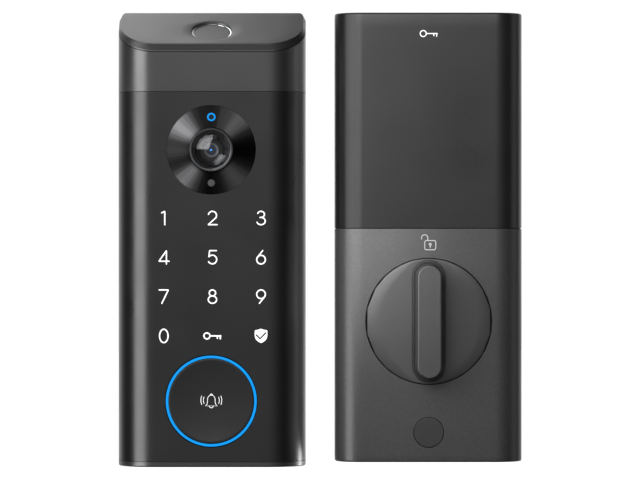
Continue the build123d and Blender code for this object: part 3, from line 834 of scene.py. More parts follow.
class Palette:
    """Every finish of the lock, each made once."""

    panel = Finish("hard_coat_black", (0.0075, 0.0076, 0.008), 0.3, specular=0.5, grain=0.18, relief=0.05)
    graphite = Finish("graphite_satin_paint", (0.022, 0.0222, 0.023), 0.32, specular=0.7, grain=0.2,
                      relief=0.06)
    cover = Finish("battery_cover_satin", (0.011, 0.011, 0.0114), 0.31, specular=0.5, grain=0.22, relief=0.07)
    grey = Finish("metallic_grey_paint", (0.038, 0.038, 0.0382), 0.34, metallic=0.2, grain=0.3, relief=0.2,
                  shade=0.18, flake=0.6)
    turn_grey = Finish("thumb_turn_grey", (0.038, 0.038, 0.0382), 0.36, metallic=0.2, grain=0.25, relief=0.18,
                       shade=0.12, flake=0.25)
    button = Finish("lock_button_dark", (0.017, 0.017, 0.0174), 0.38, metallic=0.1, grain=0.25, relief=0.12)
    pad = Finish("sensor_pad_coat", (0.022, 0.0222, 0.023), 0.32, specular=0.7, grain=0.15, relief=0.05)
    plated = Finish("plated_bright_ring", (0.75, 0.76, 0.78), 0.16, metallic=1.0, grain=0.1, relief=0.05,
                    shade=0.05)
    dish = Finish("doorbell_hard_coat", (0.0075, 0.0076, 0.008), 0.3, grain=0.18, relief=0.05)
    dark = Finish("moulded_dark_plastic", (0.02, 0.02, 0.021), 0.5, grain=0.3, relief=0.35)
    optic_black = Finish("optical_black_paint", (0.003, 0.003, 0.0034), 0.5, specular=0.25, grain=0.1,
                         relief=0.1)
    rubber = Finish("moulded_rubber", (0.02, 0.02, 0.02), 0.75, specular=0.3, grain=0.4, relief=0.5,
                    shade=0.2)
    zinc = Finish("die_cast_zinc", (0.3, 0.3, 0.31), 0.42, metallic=0.9, grain=0.5, relief=0.5, shade=0.16)
    steel = Finish("zinc_plated_steel", (0.56, 0.56, 0.57), 0.28, metallic=1.0, grain=0.35, relief=0.2,
                   shade=0.08)
    brass = Finish("turned_brass", (0.72, 0.5, 0.2), 0.27, metallic=1.0, grain=0.3, relief=0.2, shade=0.1)
    board = Finish("solder_mask_green", (0.015, 0.09, 0.035), 0.35, grain=0.6, relief=0.4, shade=0.25,
                   coat=0.4)
    acetal = Finish("white_acetal", (0.72, 0.72, 0.66), 0.42, grain=0.4, relief=0.15, shade=0.04)
    wrap = Finish("battery_wrap_film", (0.05, 0.06, 0.08), 0.3, grain=1.2, relief=0.3, shade=0.1, coat=0.3)
    guide = Finish("frosted_light_guide", (0.75, 0.78, 0.8), 0.5, grain=0.3, relief=0.2, shade=0.04)
    # The cone's base colour is painted highlight rays: bright and dark sectors round the lens, with no
    # specular of its own.
    bezel = SpunFinish("sunray_camera_cone", 0.5, 90.0, (
        (0.0, 0.001), (24.0, 0.002), (36.0, 0.05), (50.0, 0.12), (60.0, 0.04), (72.0, 0.05), (84.0, 0.004),
        (100.0, 0.02), (112.0, 0.008), (126.0, 0.1), (144.0, 0.42), (154.0, 0.22), (166.0, 0.01), (180.0,
                                                                                                   0.07),
        (196.0, 0.01), (212.0, 0.02), (226.0, 0.22), (238.0, 0.08), (250.0, 0.003), (272.0,
                                                                                     0.002), (292.0, 0.008),
        (310.0, 0.06), (322.0, 0.03), (336.0, 0.002), (360.0, 0.001)), metallic=0.0, specular=0.0)
    collar = SpunFinish("turned_lens_collar", 0.24, 60.0, ((0.0, 0.07), (360.0, 0.07)))
    pupil = SpunFinish("turned_lens_barrel", 0.35, 40.0, ((0.0, 0.2), (360.0, 0.2)), metallic=0.5)
    dome = CoverGlassFinish("lens_cover_glass")
    optic = GlassFinish("coated_front_lens", (0.001, 0.003, 0.012), 0.0, 2.2, 0.05, (0.03, 0.35, 1.0))
    eye = Finish("sensor_window_grey", (0.07, 0.07, 0.072), 0.6, specular=0.2, grain=0.3, relief=0.1)
    window = GlassFinish("smoked_window", (0.02, 0.02, 0.022), 0.0)
    blue = LitFinish("blue_lamp", (0.002, 0.36, 1.0), 1.0, (0.0, 0.01, 0.03))
    blue_dot = LitFinish("blue_status_lamp", (0.002, 0.36, 1.0), 1.0, (0.0, 0.01, 0.03))
    # Backlit keypad print; on the battery cover's key sign, which has no lamp, this glow is painted light.
    legend = LitFinish("white_legend", (0.95, 0.95, 0.95), 0.95)
    # Print on the interior unit, which has no lamp: its glow is painted light.
    painted_glow_print = LitFinish("pale_print", (0.6, 0.6, 0.6), 0.36, (0.5, 0.5, 0.5))

    def __init__(self) -> None:
        """Starts with no material made."""
        self._made: dict[str, bpy.types.Material] = {}

    def of(self, finish: Look) -> bpy.types.Material:
        """The material of a finish, made the first time it is asked for."""
        if finish.name not in self._made:
            self._made[finish.name] = finish.material()
        return self._made[finish.name]


# ---- Putting pieces on the lock -----------------------------------------------------------------------
@dataclass
class Bench:
    """Where finished pieces are dressed, fixed to their bodies and reported."""

    frame: dict
    palette: Palette = field(default_factory=Palette)
    placed: list[Obj] = field(default_factory=list)

    def fit(self, obj: Obj, body: Body, finish: Look, slot: Slot, *nodes: str) -> None:
        """Dresses a piece, lets it ride on its body and hides the nodes that it stands for.

        Args:
            obj: The piece.
            body: The body that carries it.
            finish: Its finish.
            slot: Its material slot in the record; not used.
            *nodes: The CAD nodes that it replaces.
        """
        obj.data.materials.clear()
        obj.data.materials.append(self.palette.of(finish))
        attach(obj, body.value)
        if nodes:
            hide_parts(*nodes)
        self.placed.append(obj)
        LOG.info("%s rides on %s", obj.name, body.value)

    def spin(self, name: str, spot: Spot, profile: Array, steps: int, finish: Look, slot: Slot, *nodes: str,
             body: Body = Body.EXTERIOR) -> None:
        """Turns a profile round a spot's axis and fits the piece.

        Args:
            name: The piece's name.
            spot: The axis.
            profile: (radius, height) points.
            steps: Columns round the axis.
            finish: Its finish.
            slot: Its material slot.
            *nodes: The CAD nodes that it replaces.
            body: The body that carries it.
        """
        self.fit(turned(spot, profile, steps).build(name, sharp=50), body, finish, slot, *nodes)

    def sign(self, name: str, spot: Spot, strokes: list[Array], width: float, finish: Look,
             body: Body) -> None:
        """Prints strokes as one piece, each a hair higher than the last.

        Args:
            name: The piece's name.
            spot: The sign's middle on its surface.
            strokes: Centre lines.
            width: Width of the strokes.
            finish: The print's finish.
            body: The body that carries it.
        """
        skin, (x, y, z) = Skin(), spot.origin
        for order, stroke in enumerate(strokes):
            ribbon(spot, stroke, width, 0.03 + 0.004 * order, skin)
        self.fit(skin.build(name, (x, y + 5, z), sharp=30), body, finish, Slot.PRINT)

    def soften(self, obj: Obj, width: float) -> Obj:
        """Rounds the sharp edges of a piece with a bevel.

        Args:
            obj: The piece.
            width: The bevel's width in millimetres.

        Returns:
            The piece.
        """
        bevel = obj.modifiers.new("edge_round", "BEVEL")
        bevel.width, bevel.segments = width * MM, 2
        bevel.limit_method, bevel.angle_limit = "ANGLE", math.radians(42.0)
        bevel.harden_normals = True
        return obj

    def copies(self, *rows: tuple[str, str, Body, Look, Slot]) -> None:
        """Fits welded, smoothly shaded copies of CAD nodes.

        Args:
            *rows: The copy's name, the node's name, its body, its finish and its slot.
        """
        for name, node, body, finish, slot in rows:
            mesh = self.frame["nodes"][node].data.copy()
            work = bmesh.new()
            work.from_mesh(mesh)
            bmesh.ops.remove_doubles(work, verts=work.verts, dist=1e-6)
            obj = shaded(name, mesh, work, 30.0)
            even = obj.modifiers.new("even_shading", "WEIGHTED_NORMAL")
            even.keep_sharp, even.weight = True, 100
            self.fit(obj, body, finish, slot, node)

    def paint(self, coats: dict[Look, str]) -> None:
        """Gives CAD nodes that stay in view a finish, by their names in one string."""
        for finish, nodes in coats.items():
            for node in nodes.split():
                obj = self.frame["nodes"][node]
                obj.data.materials.clear()
                obj.data.materials.append(self.palette.of(finish))
                LOG.info("%s keeps its CAD shape in %s", node, finish.name)


# ---- Printed signs ------------------------------------------------------------------------------------
@dataclass(frozen=True)
class Signs:
    """Centre lines of the printed digits and pictures, about their own middles, in millimetres."""

    half_width: float = 1.62
    half_height: float = 2.55
    stroke: float = 0.52

    def digit(self, number: int) -> list[Array]:
        """The strokes of a digit, made of straight legs and arcs.

        Args:
            number: From 0 to 9.

        Returns:
            One centre line for each stroke.
        """
        w, h = self.half_width, self.half_height
        bowl = 1.65
        low = -h + bowl
        six = strung(np.array([[0.62, h]]), arc((0, low), (bowl, bowl), 152, 152 + 360, 48))
        strokes = {
            0: [arc((0, 0), (w, h), 90, 450, 56)],
            1: [rounded([(-0.78, 1.95), (0.36, h), (0.36, -h)], 0.12)],
            2: [strung(arc((0, h - w * 0.98), (w * 0.96, w * 0.98), 165, -28, 26),
                       rounded([(1.28, 0.05), (-w, -h), (w + 0.1, -h)], 0.05))],
            3: [strung(arc((0, h - 1.17), (1.3, 1.17), 160, -90, 28), np.array([[-0.35, h - 2.34]])),
                arc((0, -h + 1.38), (1.6, 1.38), 90, -160, 30)],
            4: [rounded([(1.0, -h), (1.0, h), (-1.85, -1.5), (2.0, -1.5)], 0.06)],
            5: [strung(rounded([(1.45, h), (-1.05, h), (-1.32, 0.32)], 0.08),
                       arc((-0.02, low + 0.06), (bowl, bowl), 142, -150, 32))],
            6: [six],
            7: [rounded([(-1.72, h), (1.72, h), (-0.75, -h)], 0.08)],
            8: [arc((0, h - 1.15), (1.22, 1.15), -90, 270, 40), arc((0, -h + 1.4), (1.58, 1.4), 90, 450, 48)],
            9: [-six],
        }
        return strokes[number]

    def bell(self) -> list[Array]:
        """The strokes of a bell: dome and flared foot, clapper, and two sound arcs on each side."""
        side = strung(arc((0, 0.55), (1.45, 1.75), 90, 8, 14), np.array([[1.5, -0.6]]),
                      arc((2.5, -0.75), (0.95, 0.95), 175, 225, 6), np.array([[2.25, -1.85]]))
        outline = strung(side[::-1], side * [-1, 1], side[::-1][:1])
        waves = [arc((0, 0.3), (r, r), a - 24, a + 24, 10) for r in (3.05, 4.0) for a in (0, 180)]
        clapper = arc((0, -1.85), (0.75, 0.75), 180, 360, 12)
        crown = arc((0, 2.3), (0.42, 0.42), 0, 180, 10)
        return [outline, clapper, crown, *waves]

    def padlock(self) -> list[Array]:
        """The strokes of an open padlock: body, keyhole and a shackle swung to the left."""
        body = rounded([(-2.1, -1.75), (2.1, -1.75), (2.1, 1.75), (-2.1, 1.75)], 0.7, closed=True)
        shackle = strung(np.array([[-0.9, 1.75]]), arc((-2.1, 2.75), (1.2, 1.2), 0, 180, 18),
                         np.array([[-3.3, 2.35]]))
        return [body, shackle, arc((0, 0.3), (0.38, 0.38), 0, 360, 18), np.array([[0.0, -0.1], [0.0, -0.8]])]

    def key(self) -> list[Array]:
        """The strokes of a plain key lying on its side: bow, shaft and two bits."""
        bow = arc((-2.1, 0), (1.15, 1.15), 0, 360, 36)
        return [bow, np.array([[-0.95, 0.0], [3.2, 0.0]]), np.array([[3.0, 0.0], [3.0, -1.1]]),
                np.array([[1.9, 0.0], [1.9, -0.85]])]

    def shield(self) -> Array:
        """The outline of a filled shield: a small peak, square shoulders and a pointed foot."""
        right = strung(np.array([[0.0, 3.0], [0.9, 2.62], [2.35, 2.35]]),
                       np.array([[2.6, 2.05], [2.6, 0.3]]), arc((-1.0, 0.3), (3.6, 3.3), 0, -74, 14),
                       np.array([[0.0, -3.02]]))
        left = right[::-1] * [-1, 1]
        return strung(left, right) * 0.92


# ---- Exterior unit ------------------------------------------------------------------------------------
@dataclass
class ExteriorUnit:
    """The unit outside the door: shells, camera, keypad, doorbell and fingerprint pad."""

    bench: Bench
    wall: float = 2.0
    front_radius: float = 15.0
    rear_corner: tuple[float, float] = (2.6, 3.5)
    height: float = 175.2
    chassis_depth: float = 4.0
    gasket_depth: float = 1.5
    camera_hole: float = 17.05
    doorbell_hole: float = 17.75
    hole_reach: float = 20.3
    slope_front: float = 161.1
    plate: float = 2.2
    sensor_height: float = 167.0
    sensor_hole: float = 7.65
    dome_radius: float = 7.1
    lens_radius: float = 1.85
    eye_ring: float = 12.6
    cone_line: tuple[tuple[float, float], ...] = ((8.65, 25.2), (16.75, 27.38))
    key_columns: float = 18.55
    key_rows: float = 15.0
    first_row: float = 95.1
    key_shift: float = 0.45

    def __post_init__(self) -> None:
        """Takes the unit's box and its round features' places from the frame."""
        cover, foot = (Extent.of(n) for n in ("exterior_cover", "exterior_bottom_cap"))
        self.floor, self.seam, self.foot = foot.low, cover.high, cover.low
        self.top = foot.low + self.height
        self.plan = Plan(cover.right, cover.front, self.front_radius, self.gasket_depth, self.rear_corner)
        self.tilt = (self.height - self.slope_front) / (self.plan.front - self.gasket_depth)
        self.camera, self.doorbell = (Spot((0.0, 0.0, Extent.of(n).z)) for n in ("camera_bezel",
                                                                                 "doorbell_button"))
        slant = math.atan(self.tilt)
        depth = self.plan.front - (self.sensor_height - self.slope_front) / self.tilt
        self.sensor = Spot((0.0, -depth, self.floor + self.sensor_height),
                           (0.0, math.cos(slant), math.sin(slant)),
                           (0.0, -math.sin(slant), math.cos(slant)))

    def slope(self, depth: Array) -> Array:
        """Height of the slanted top: the rear edge's less the tilt times the depth beyond it."""
        return self.top - self.tilt * (depth - self.gasket_depth)

    def build(self) -> None:
        """Makes every visible piece of the unit."""
        for step in (self.shells, self.top_plate, self.fingerprint, self.camera_group, self.keypad,
                     self.doorbell_group, self.behind):
            step()

    def shells(self) -> None:
        """The front cover with its two round holes, and the top cap under the slanted plate."""
        reach, camera, bell = self.hole_reach, self.camera.origin[2], self.doorbell.origin[2]
        zones = [Zone(self.foot, bell - reach, 2),
                 Zone(bell - reach, bell + reach, 44, self.doorbell_hole, bell),
                 Zone(bell + reach, camera - reach, 14),
                 Zone(camera - reach, camera + reach, 44, self.camera_hole, camera),
                 Zone(camera + reach, self.seam, 2)]
        low = Extent.of("exterior_top_cap").low
        drop = (self.plate + 0.15) * math.hypot(1.0, self.tilt)
        lift = lambda z, depth: low + (z - low) * (self.slope(depth) - drop - low)
        cover = Casing(self.plan, zones, self.wall, self.chassis_depth)
        cap = Casing(self.plan, [Zone(low, low + 1.0, 10)], self.wall, self.chassis_depth, lift=lift)
        for name, casing, heart, finish, slot, node in (
                ("front_cover", cover, 40, Palette.panel, Slot.PANEL, "exterior_cover"),
                ("top_cap", cap, low + 8, Palette.graphite, Slot.GRAPHITE, "exterior_top_cap")):
            obj = self.bench.soften(casing.skin().build(name, (0, -8, heart)), 0.16)
            self.bench.fit(obj, Body.EXTERIOR, finish, slot, node)

    def top_plate(self) -> None:
        """The slanted plate: its hole, face, fine lip and bevelled band, in rings from hole to underside."""
        points, normals, _ = self.plan.around(self.plan.rear, 44)
        across = np.linspace(points[-1, 0], points[0, 0], 30)[1:]
        points = np.vstack([points, np.column_stack([across, np.full(29, self.plan.rear)])])
        normals = np.vstack([normals, np.tile([0.0, -1.0], (29, 1))])
        turn = np.arctan2((-points[:, 1] - self.sensor.origin[1]) * math.hypot(1.0, self.tilt), points[:, 0])

        def edge(inset: float, drop: float) -> Array:
            """The outline drawn in, at a drop below the slanted face."""
            ring = points - normals * inset
            return np.column_stack([ring[:, 0], -ring[:, 1], self.slope(ring[:, 1]) - drop])

        def bore(radius: float, sink: float) -> Array:
            """A ring round the sensor, sunk square to the slanted face."""
            return self.sensor.at(radius * np.cos(turn), radius * np.sin(turn), 0 * turn - sink)

        hole = self.sensor_hole
        rows = [bore(*s) for s in ((hole, self.plate), (hole, 0.5), (7.78, 0.26), (8.0, 0.08), (8.3, 0.0))]
        rows += [rows[-1] * (1 - s) + edge(1.3, 0.0) * s for s in (0.15, 0.4, 0.7)]
        rows += [edge(*b) for b in ((1.3, 0.0), (1.1, 0.02), (1.0, 0.12), (1.12, 0.2), (1.1, 0.32),
                                    (0.9, 0.38),
                                    (0.5, 1.15), (0.1, 1.92), (0.02, 2.06), (0.0, 2.2), (0.0, 2.36), (0.1,
                                                                                                      2.47))]
        rows.append(bore(hole, self.plate))
        plate = Skin().grid(np.stack(rows, 1)).build("slanted_top_plate", (0, -14, self.top - 9), sharp=24.0)
        self.bench.fit(plate, Body.EXTERIOR, Palette.graphite, Slot.GRAPHITE, "exterior_top_plate")

    def fingerprint(self) -> None:
        """The polished ring and the touch pad in the slanted plate."""
        ring = rounded([(7.05, -2.6), (7.05, -0.72), (7.6, -0.62), (7.6, -2.6)], 0.14, True)
        pad = strung([[0.0, -2.4]], rounded([(7.0, -2.4), (7.0, -0.88), (6.7, -0.82), (0.0, -0.92)], 0.12))
        spin = self.bench.spin
        spin("fingerprint_ring", self.sensor, ring, 128, Palette.plated, Slot.BRIGHT, "fingerprint_bezel")
        spin("fingerprint_pad", self.sensor, pad, 128, Palette.pad, Slot.PAD, "fingerprint_sensor")

    def camera_group(self) -> None:
        """The spun cone, lens collar, cover glass, stepped baffle, barrel, lens, lamp and window."""
        spot, spin, front = self.camera, self.bench.spin, self.plan.front
        cone = [(8.65, 24.4), *self.cone_line, (16.95, front - 0.05), (16.95, 25.4), (18.8, 25.4),
                (18.8, 24.4)]
        # The cone's finish paints highlight rays into its base colour.
        spin("camera_cone", spot, rounded(cone, 0.08, True, 3), 256, Palette.bezel, Slot.PANEL,
             "camera_bezel")
        collar = [(7.15, 22.6), (7.15, 27.2), (7.5, 27.72), (8.15, 27.75), (8.55, 27.35), (8.55, 22.6)]
        spin("lens_collar", spot, rounded(collar, 0.16, True), 160, Palette.collar, Slot.PAD, "lens_ring")
        radius = np.linspace(0, self.dome_radius, 22)
        sag = 1.9 * (radius / self.dome_radius) ** 2
        glass = strung(np.column_stack([radius, 27.5 - sag]), [[self.dome_radius, 24.6], [6.39, 24.6]],
                       np.column_stack([radius * 0.9, 26.7 - sag])[::-1])
        spin("lens_cover_dome", spot, glass, 160, Palette.dome, Slot.GLASS, "lens_glass")
        baffle = [(2.9, 20.0), (2.9, 21.7), (4.3, 22.0), (4.3, 22.5), (6.9, 23.9), (6.9, 20.0)]
        spin("lens_step_baffle", spot, rounded(baffle, 0.15, True), 128, Palette.optic_black, Slot.DARK,
             "lens_baffle")
        barrel = [(1.9, 20.0), (1.9, 22.4), (2.3, 22.85), (2.6, 22.95), (2.75, 22.8), (2.75, 20.0)]
        spin("lens_barrel_rim", spot, rounded(barrel, 0.12, True), 96, Palette.pupil, Slot.DARK,
             "lens_barrel")
        radius = np.linspace(0, self.lens_radius, 12)
        lens = strung(np.column_stack([radius, 22.7 - 0.75 * (radius / self.lens_radius) ** 2]),
                      [[self.lens_radius, 20.6], [0, 20.6]])
        spin("front_lens_element", spot, lens, 96, Palette.optic, Slot.GLASS, "lens_element")
        lamp, eye = (self.on_cone(side) for side in (1, -1))
        ring = rounded([(1.02, -1.8), (1.02, 0.06), (1.62, 0.06), (1.62, -1.8)], 0.05, True)
        spin("status_lamp_ring", lamp, ring, 64, Palette.blue_dot, Slot.BLUE, "status_light_ring")
        core = rounded([(0.0, -1.8), (0.98, -1.8), (0.98, 0.03), (0.0, 0.06)], 0.05)
        spin("status_lamp_core", lamp, core, 48, Palette.window, Slot.GLASS)
        window = rounded([(0.0, -1.8), (1.4, -1.8), (1.4, 0.03), (0.0, 0.12)], 0.05)
        spin("light_sensor_lens", eye, window, 64, Palette.eye, Slot.GLASS, "light_sensor_window")

    def on_cone(self, side: int) -> Spot:
        """A spot on the camera's cone.

        Args:
            side: 1 above the lens, -1 below it.

        Returns:
            The spot, square to the cone.
        """
        (near, low), (far, high) = self.cone_line
        tilt = math.atan2(high - low, far - near)
        depth = low + (self.eye_ring - near) * math.tan(tilt)
        up, out = side * math.sin(tilt), math.cos(tilt)
        return Spot((0.0, -depth, self.camera.origin[2] + side * self.eye_ring), (0.0, -up, out),
                    (0.0, -out, -up))

    def keypad(self) -> None:
        """The lit digits, the shield sign and a small key sign, each a stroke just proud of the cover."""
        signs, last = Signs(), (3, 0)
        for number, (row, column) in {**{n: divmod(n - 1, 3) for n in range(1, 10)}, 0: last}.items():
            self.sign(f"digit_{number}", self.key_spot(row, column), signs.digit(number), signs.stroke)
        self.sign("key_sign", self.key_spot(3, 1), signs.key(), 0.55)
        spot = self.key_spot(3, 2)
        shield = stacked(spot, signs.shield(), np.array([[0.0, -0.05], [0.02, 0.03]]), caps=True)
        self.bench.fit(shield.build("shield_sign", sharp=50), Body.EXTERIOR, Palette.legend, Slot.PRINT)
        tick = rounded([(-1.75, 0.3), (-0.4, -1.05), (1.75, 1.1)], 0.08)
        raised = Spot((spot.origin[0], spot.origin[1] - 0.02, spot.origin[2]))
        self.sign("shield_tick", raised, [tick], 0.62, Palette.panel)

    def key_spot(self, row: int, column: int) -> Spot:
        """The middle of one key on the face of the cover, with the columns counted from the left."""
        return Spot((self.key_columns * (column - 1) + self.key_shift, -self.plan.front,
                     self.floor + self.first_row - self.key_rows * row))

    def sign(self, name: str, spot: Spot, strokes: list[Array], width: float,
             finish: Look = Palette.legend) -> None:
        """Prints a sign that stays on the unit."""
        self.bench.sign(name, spot, strokes, width, finish, Body.EXTERIOR)

    def doorbell_group(self) -> None:
        """The dished button that travels, its lit ring and the bell sign."""
        spot, spin, front = self.doorbell, self.bench.spin, self.plan.front
        radius = np.linspace(0, 15.75, 30)
        face = np.column_stack([radius, front - 1.15 + 0.9 * (radius / 15.9) ** 2])
        rim = [(15.75, face[-1, 1]), (16.2, 27.18), (16.2, 24.9), (3.0, 24.9), (3.0, 23.6), (0.0, 23.6)]
        spin("doorbell_dish", spot, strung(face, rounded(rim, 0.14)), 200, Palette.dish, Slot.PANEL,
             "doorbell_button",
             body=Body.DOORBELL)
        ring = [(16.36, 22.5), (16.36, 27.1), (17.4, 27.1), (17.4, 25.4), (18.9, 25.4), (18.9, 22.5)]
        spin("doorbell_lamp_ring", spot, rounded(ring, 0.1, True), 200, Palette.optic_black, Slot.BLUE,
             "doorbell_light_ring")
        lens = rounded([(16.4, 27.0), (16.4, 27.2), (17.36, 27.2), (17.36, 27.0)], 0.06, True)
        spin("doorbell_lamp_lens", spot, lens, 200, Palette.blue, Slot.BLUE)
        middle = Spot((0.0, -(front - 1.13), spot.origin[2]))
        self.bench.sign("bell_sign", middle, Signs().bell(), 0.22, Palette.legend, Body.DOORBELL)

    def behind(self) -> None:
        """The pieces that show from below and behind, and the ones inside."""
        outside, steel = Body.EXTERIOR, Palette.steel
        self.bench.copies(
            ("bottom_trim", "exterior_bottom_cap", outside, Palette.graphite, Slot.GRAPHITE),
            ("rear_chassis", "exterior_chassis", outside, Palette.zinc, Slot.ZINC),
            ("chassis_screws", "exterior_screws", outside, steel, Slot.STEEL),
            ("cylinder_body", "key_cylinder", outside, steel, Slot.BRASS),
            ("blade", "torque_blade", Body.SPINDLE, steel, Slot.STEEL),
            ("plug", "key_plug", Body.KEY, Palette.brass, Slot.BRASS),
            ("power_port", "emergency_power_port", outside, steel, Slot.STEEL),
            ("door_gasket", "exterior_gasket", outside, Palette.rubber, Slot.RUBBER))
        self.bench.paint({
            Palette.dark: "camera_module speaker doorbell_switch exterior_cable_socket",
            Palette.board: "keypad_board exterior_main_board doorbell_board fingerprint_board",
            steel: "spindle_bevel_gear plug_bevel_gear",
            Palette.brass: "spindle_bush",
            Palette.guide: "keypad_light_guide"})


# ---- Interior unit ------------------------------------------------------------------------------------
@dataclass
class InteriorUnit:
    """The unit inside the door: battery cover, housing, thumb turn and lock button."""

    bench: Bench
    wall: float = 2.2
    front_radius: float = 10.5
    rear_corner: tuple[float, float] = (3.0, 3.0)
    cut: float = 0.25
    disc_radius: float = 23.75
    gap: float = 0.35
    button_radius: float = 5.7
    button_reach: float = 8.4
    gasket_inset: float = 0.45

    def __post_init__(self) -> None:
        """Takes the unit's box and its axis from the frame."""
        housing, cover = Extent.of("interior_housing"), Extent.of("battery_cover")
        self.x, self.low, self.seam = housing.x, housing.low, housing.high
        self.cover_low, self.high = cover.low, cover.high
        self.plan = Plan((housing.right - housing.left) / 2, housing.front, self.front_radius, 0.0,
                         self.rear_corner)
        self.turn_z, self.button_z = (Extent.of(n).z for n in ("thumb_turn_disc", "lock_button"))
        grip = Extent.of("thumb_turn_grip")
        self.grip_front = grip.front
        self.grip_width, self.grip_length = (grip.right - grip.left) / 2, (grip.high - grip.low) / 2

    def build(self) -> None:
        """Makes every visible piece of the unit."""
        for step in (self.shells, self.fillings, self.thumb_turn, self.lock_button, self.signs, self.behind):
            step()

    def shells(self) -> None:
        """The battery cover, closed at its top, and the lower housing with two round holes, closed below."""
        reach, button_reach = self.plan.flat, self.button_reach
        turn, button = -self.turn_z, -self.button_z
        zones = [Zone(-self.seam, turn - reach, 3),
                 Zone(turn - reach, turn + reach, 44, self.disc_radius + self.gap, turn),
                 Zone(turn + reach, button - button_reach, 3),
                 Zone(button - button_reach, button + button_reach, 44, self.button_radius + 0.15, button),
                 Zone(button + button_reach, -self.low, 1)]
        cover = ("battery_cover_shell", [Zone(self.cover_low, self.high, 16)], 1.0, self.cover_low + 30, 0.16,
                 Body.COVER, Palette.cover, Slot.GRAPHITE, "battery_cover")
        housing = ("lower_housing", zones, -1.0, 0, 0.14, Body.INTERIOR, Palette.grey, Slot.GREY,
                   "interior_housing")
        for name, stretches, sign, heart, bevel, *dress in (cover, housing):
            skin = Casing(self.plan, stretches, self.wall, self.cut, closed=True, sign=sign, x=self.x).skin()
            self.bench.fit(self.bench.soften(skin.build(name, (self.x, -12, heart)), bevel), *dress)

    def fillings(self) -> None:
        """The cup behind the disc, the shelf on top of the housing and the dark sheet in the seam."""
        front, radius, plan = self.plan.front, self.disc_radius, self.plan
        cup = [(9.05, front - 5.2), (9.05, front - 3.4), (radius + self.gap, front - 3.4),
               (radius + self.gap, front - self.wall + 0.05), (radius + 2.55, front - self.wall - 0.02),
               (radius + 2.55, front - 5.2)]
        self.bench.spin("turn_recess_cup", Spot((self.x, 0.0, self.turn_z)), rounded(cup, 0.1, True), 128,
                        Palette.dark, Slot.GREY, body=Body.INTERIOR)
        inner = Plan(plan.half_width - self.wall - 0.05, front - self.wall - 0.05,
                     self.front_radius - self.wall, 6.0, (1.0, 1.0))
        top = self.seam + 0.8
        self.sheet("housing_shelf", inner, 6.0,
                   [(0.2, top - 2.2), (0.0, top - 2.0), (0.0, top - 0.2), (0.2, top)],
                   Palette.dark, Slot.GREY)
        inset, middle = self.gasket_inset, (self.seam + self.cover_low) / 2
        drawn = Plan(plan.half_width - inset, front - inset, plan.front_radius - inset, inset, (2.6, 2.6))
        self.sheet("seam_gasket", drawn, 0.8,
                   [(0.02, middle - 0.12), (0.0, middle - 0.1), (0.0, middle + 0.1),
                                               (0.02, middle + 0.12)], Palette.rubber, Slot.RUBBER)

    def sheet(self, name: str, plan: Plan, cut: float, rows: list[Vector], finish: Look, slot: Slot) -> None:
        """A lying piece with a plan's outline.

        Args:
            name: The piece's name.
            plan: Its outline.
            cut: Depth of its rear edge.
            rows: (inset, height) of each ring.
            finish: Its finish.
            slot: Its material slot.
        """
        outline = plan.around(cut, 20)[0]
        outline = np.vstack([outline, outline[:1]])[::-1]
        lying = Spot((self.x, 0.0, 0.0), (0.0, -1.0, 0.0), (0.0, 0.0, 1.0))
        obj = stacked(lying, outline, np.array(rows), caps=True).build(name, sharp=50)
        self.bench.fit(obj, Body.INTERIOR, finish, slot)

    def thumb_turn(self) -> None:
        """The disc with its groove, and the drafted grip with round edges."""
        spot, front, top = Spot((self.x, 0.0, self.turn_z)), self.plan.front, self.grip_front
        dress = (Body.THUMB_TURN, Palette.turn_grey, Slot.GREY)
        self.bench.fit(self.disc_face(spot, front), *dress, "thumb_turn_disc")
        foot = [(0.0, -0.6), (0.0, 0.2), (0.08, 0.36), (0.24, 0.38), (0.34, 0.2), (0.4, -0.5),
                (0.8, -0.55), (0.88, 0.3)]
        turn = np.radians([0, 20, 40, 60, 78, 90])
        edge = zip(1.45 + 0.65 * (1 - np.cos(turn)), top - 0.95 + 0.95 * np.sin(turn))
        crown = [(inset, top - 0.01) for inset in (2.4, self.grip_width - 2.2, self.grip_width)]
        rows = [(self.grip_width, front - 0.6), *((inset, front + rise) for inset, rise in foot), *edge,
                *crown]
        grip = stacked(spot, self.stadium(self.grip_width, self.grip_length), np.array(rows))
        self.bench.fit(grip.build("thumb_grip", sharp=50), *dress, "thumb_turn_grip")

    def stadium(self, half_width: float, half_length: float) -> Array:
        """An upright slot outline: two half circles joined by straight sides, anticlockwise.

        Args:
            half_width: The half circles' radius.
            half_length: Half of the slot's length.

        Returns:
            The closed outline.
        """
        middle, radii = half_length - half_width, (half_width, half_width)
        side = np.linspace(middle, -middle, 14)[1:-1, None]
        left, right = (np.hstack([np.full_like(side, s * half_width), -s * side]) for s in (-1, 1))
        top = arc((0, middle), radii, 0, 180, 40)
        return strung(top, left, arc((0, -middle), radii, 180, 360, 40), right, top[:1])

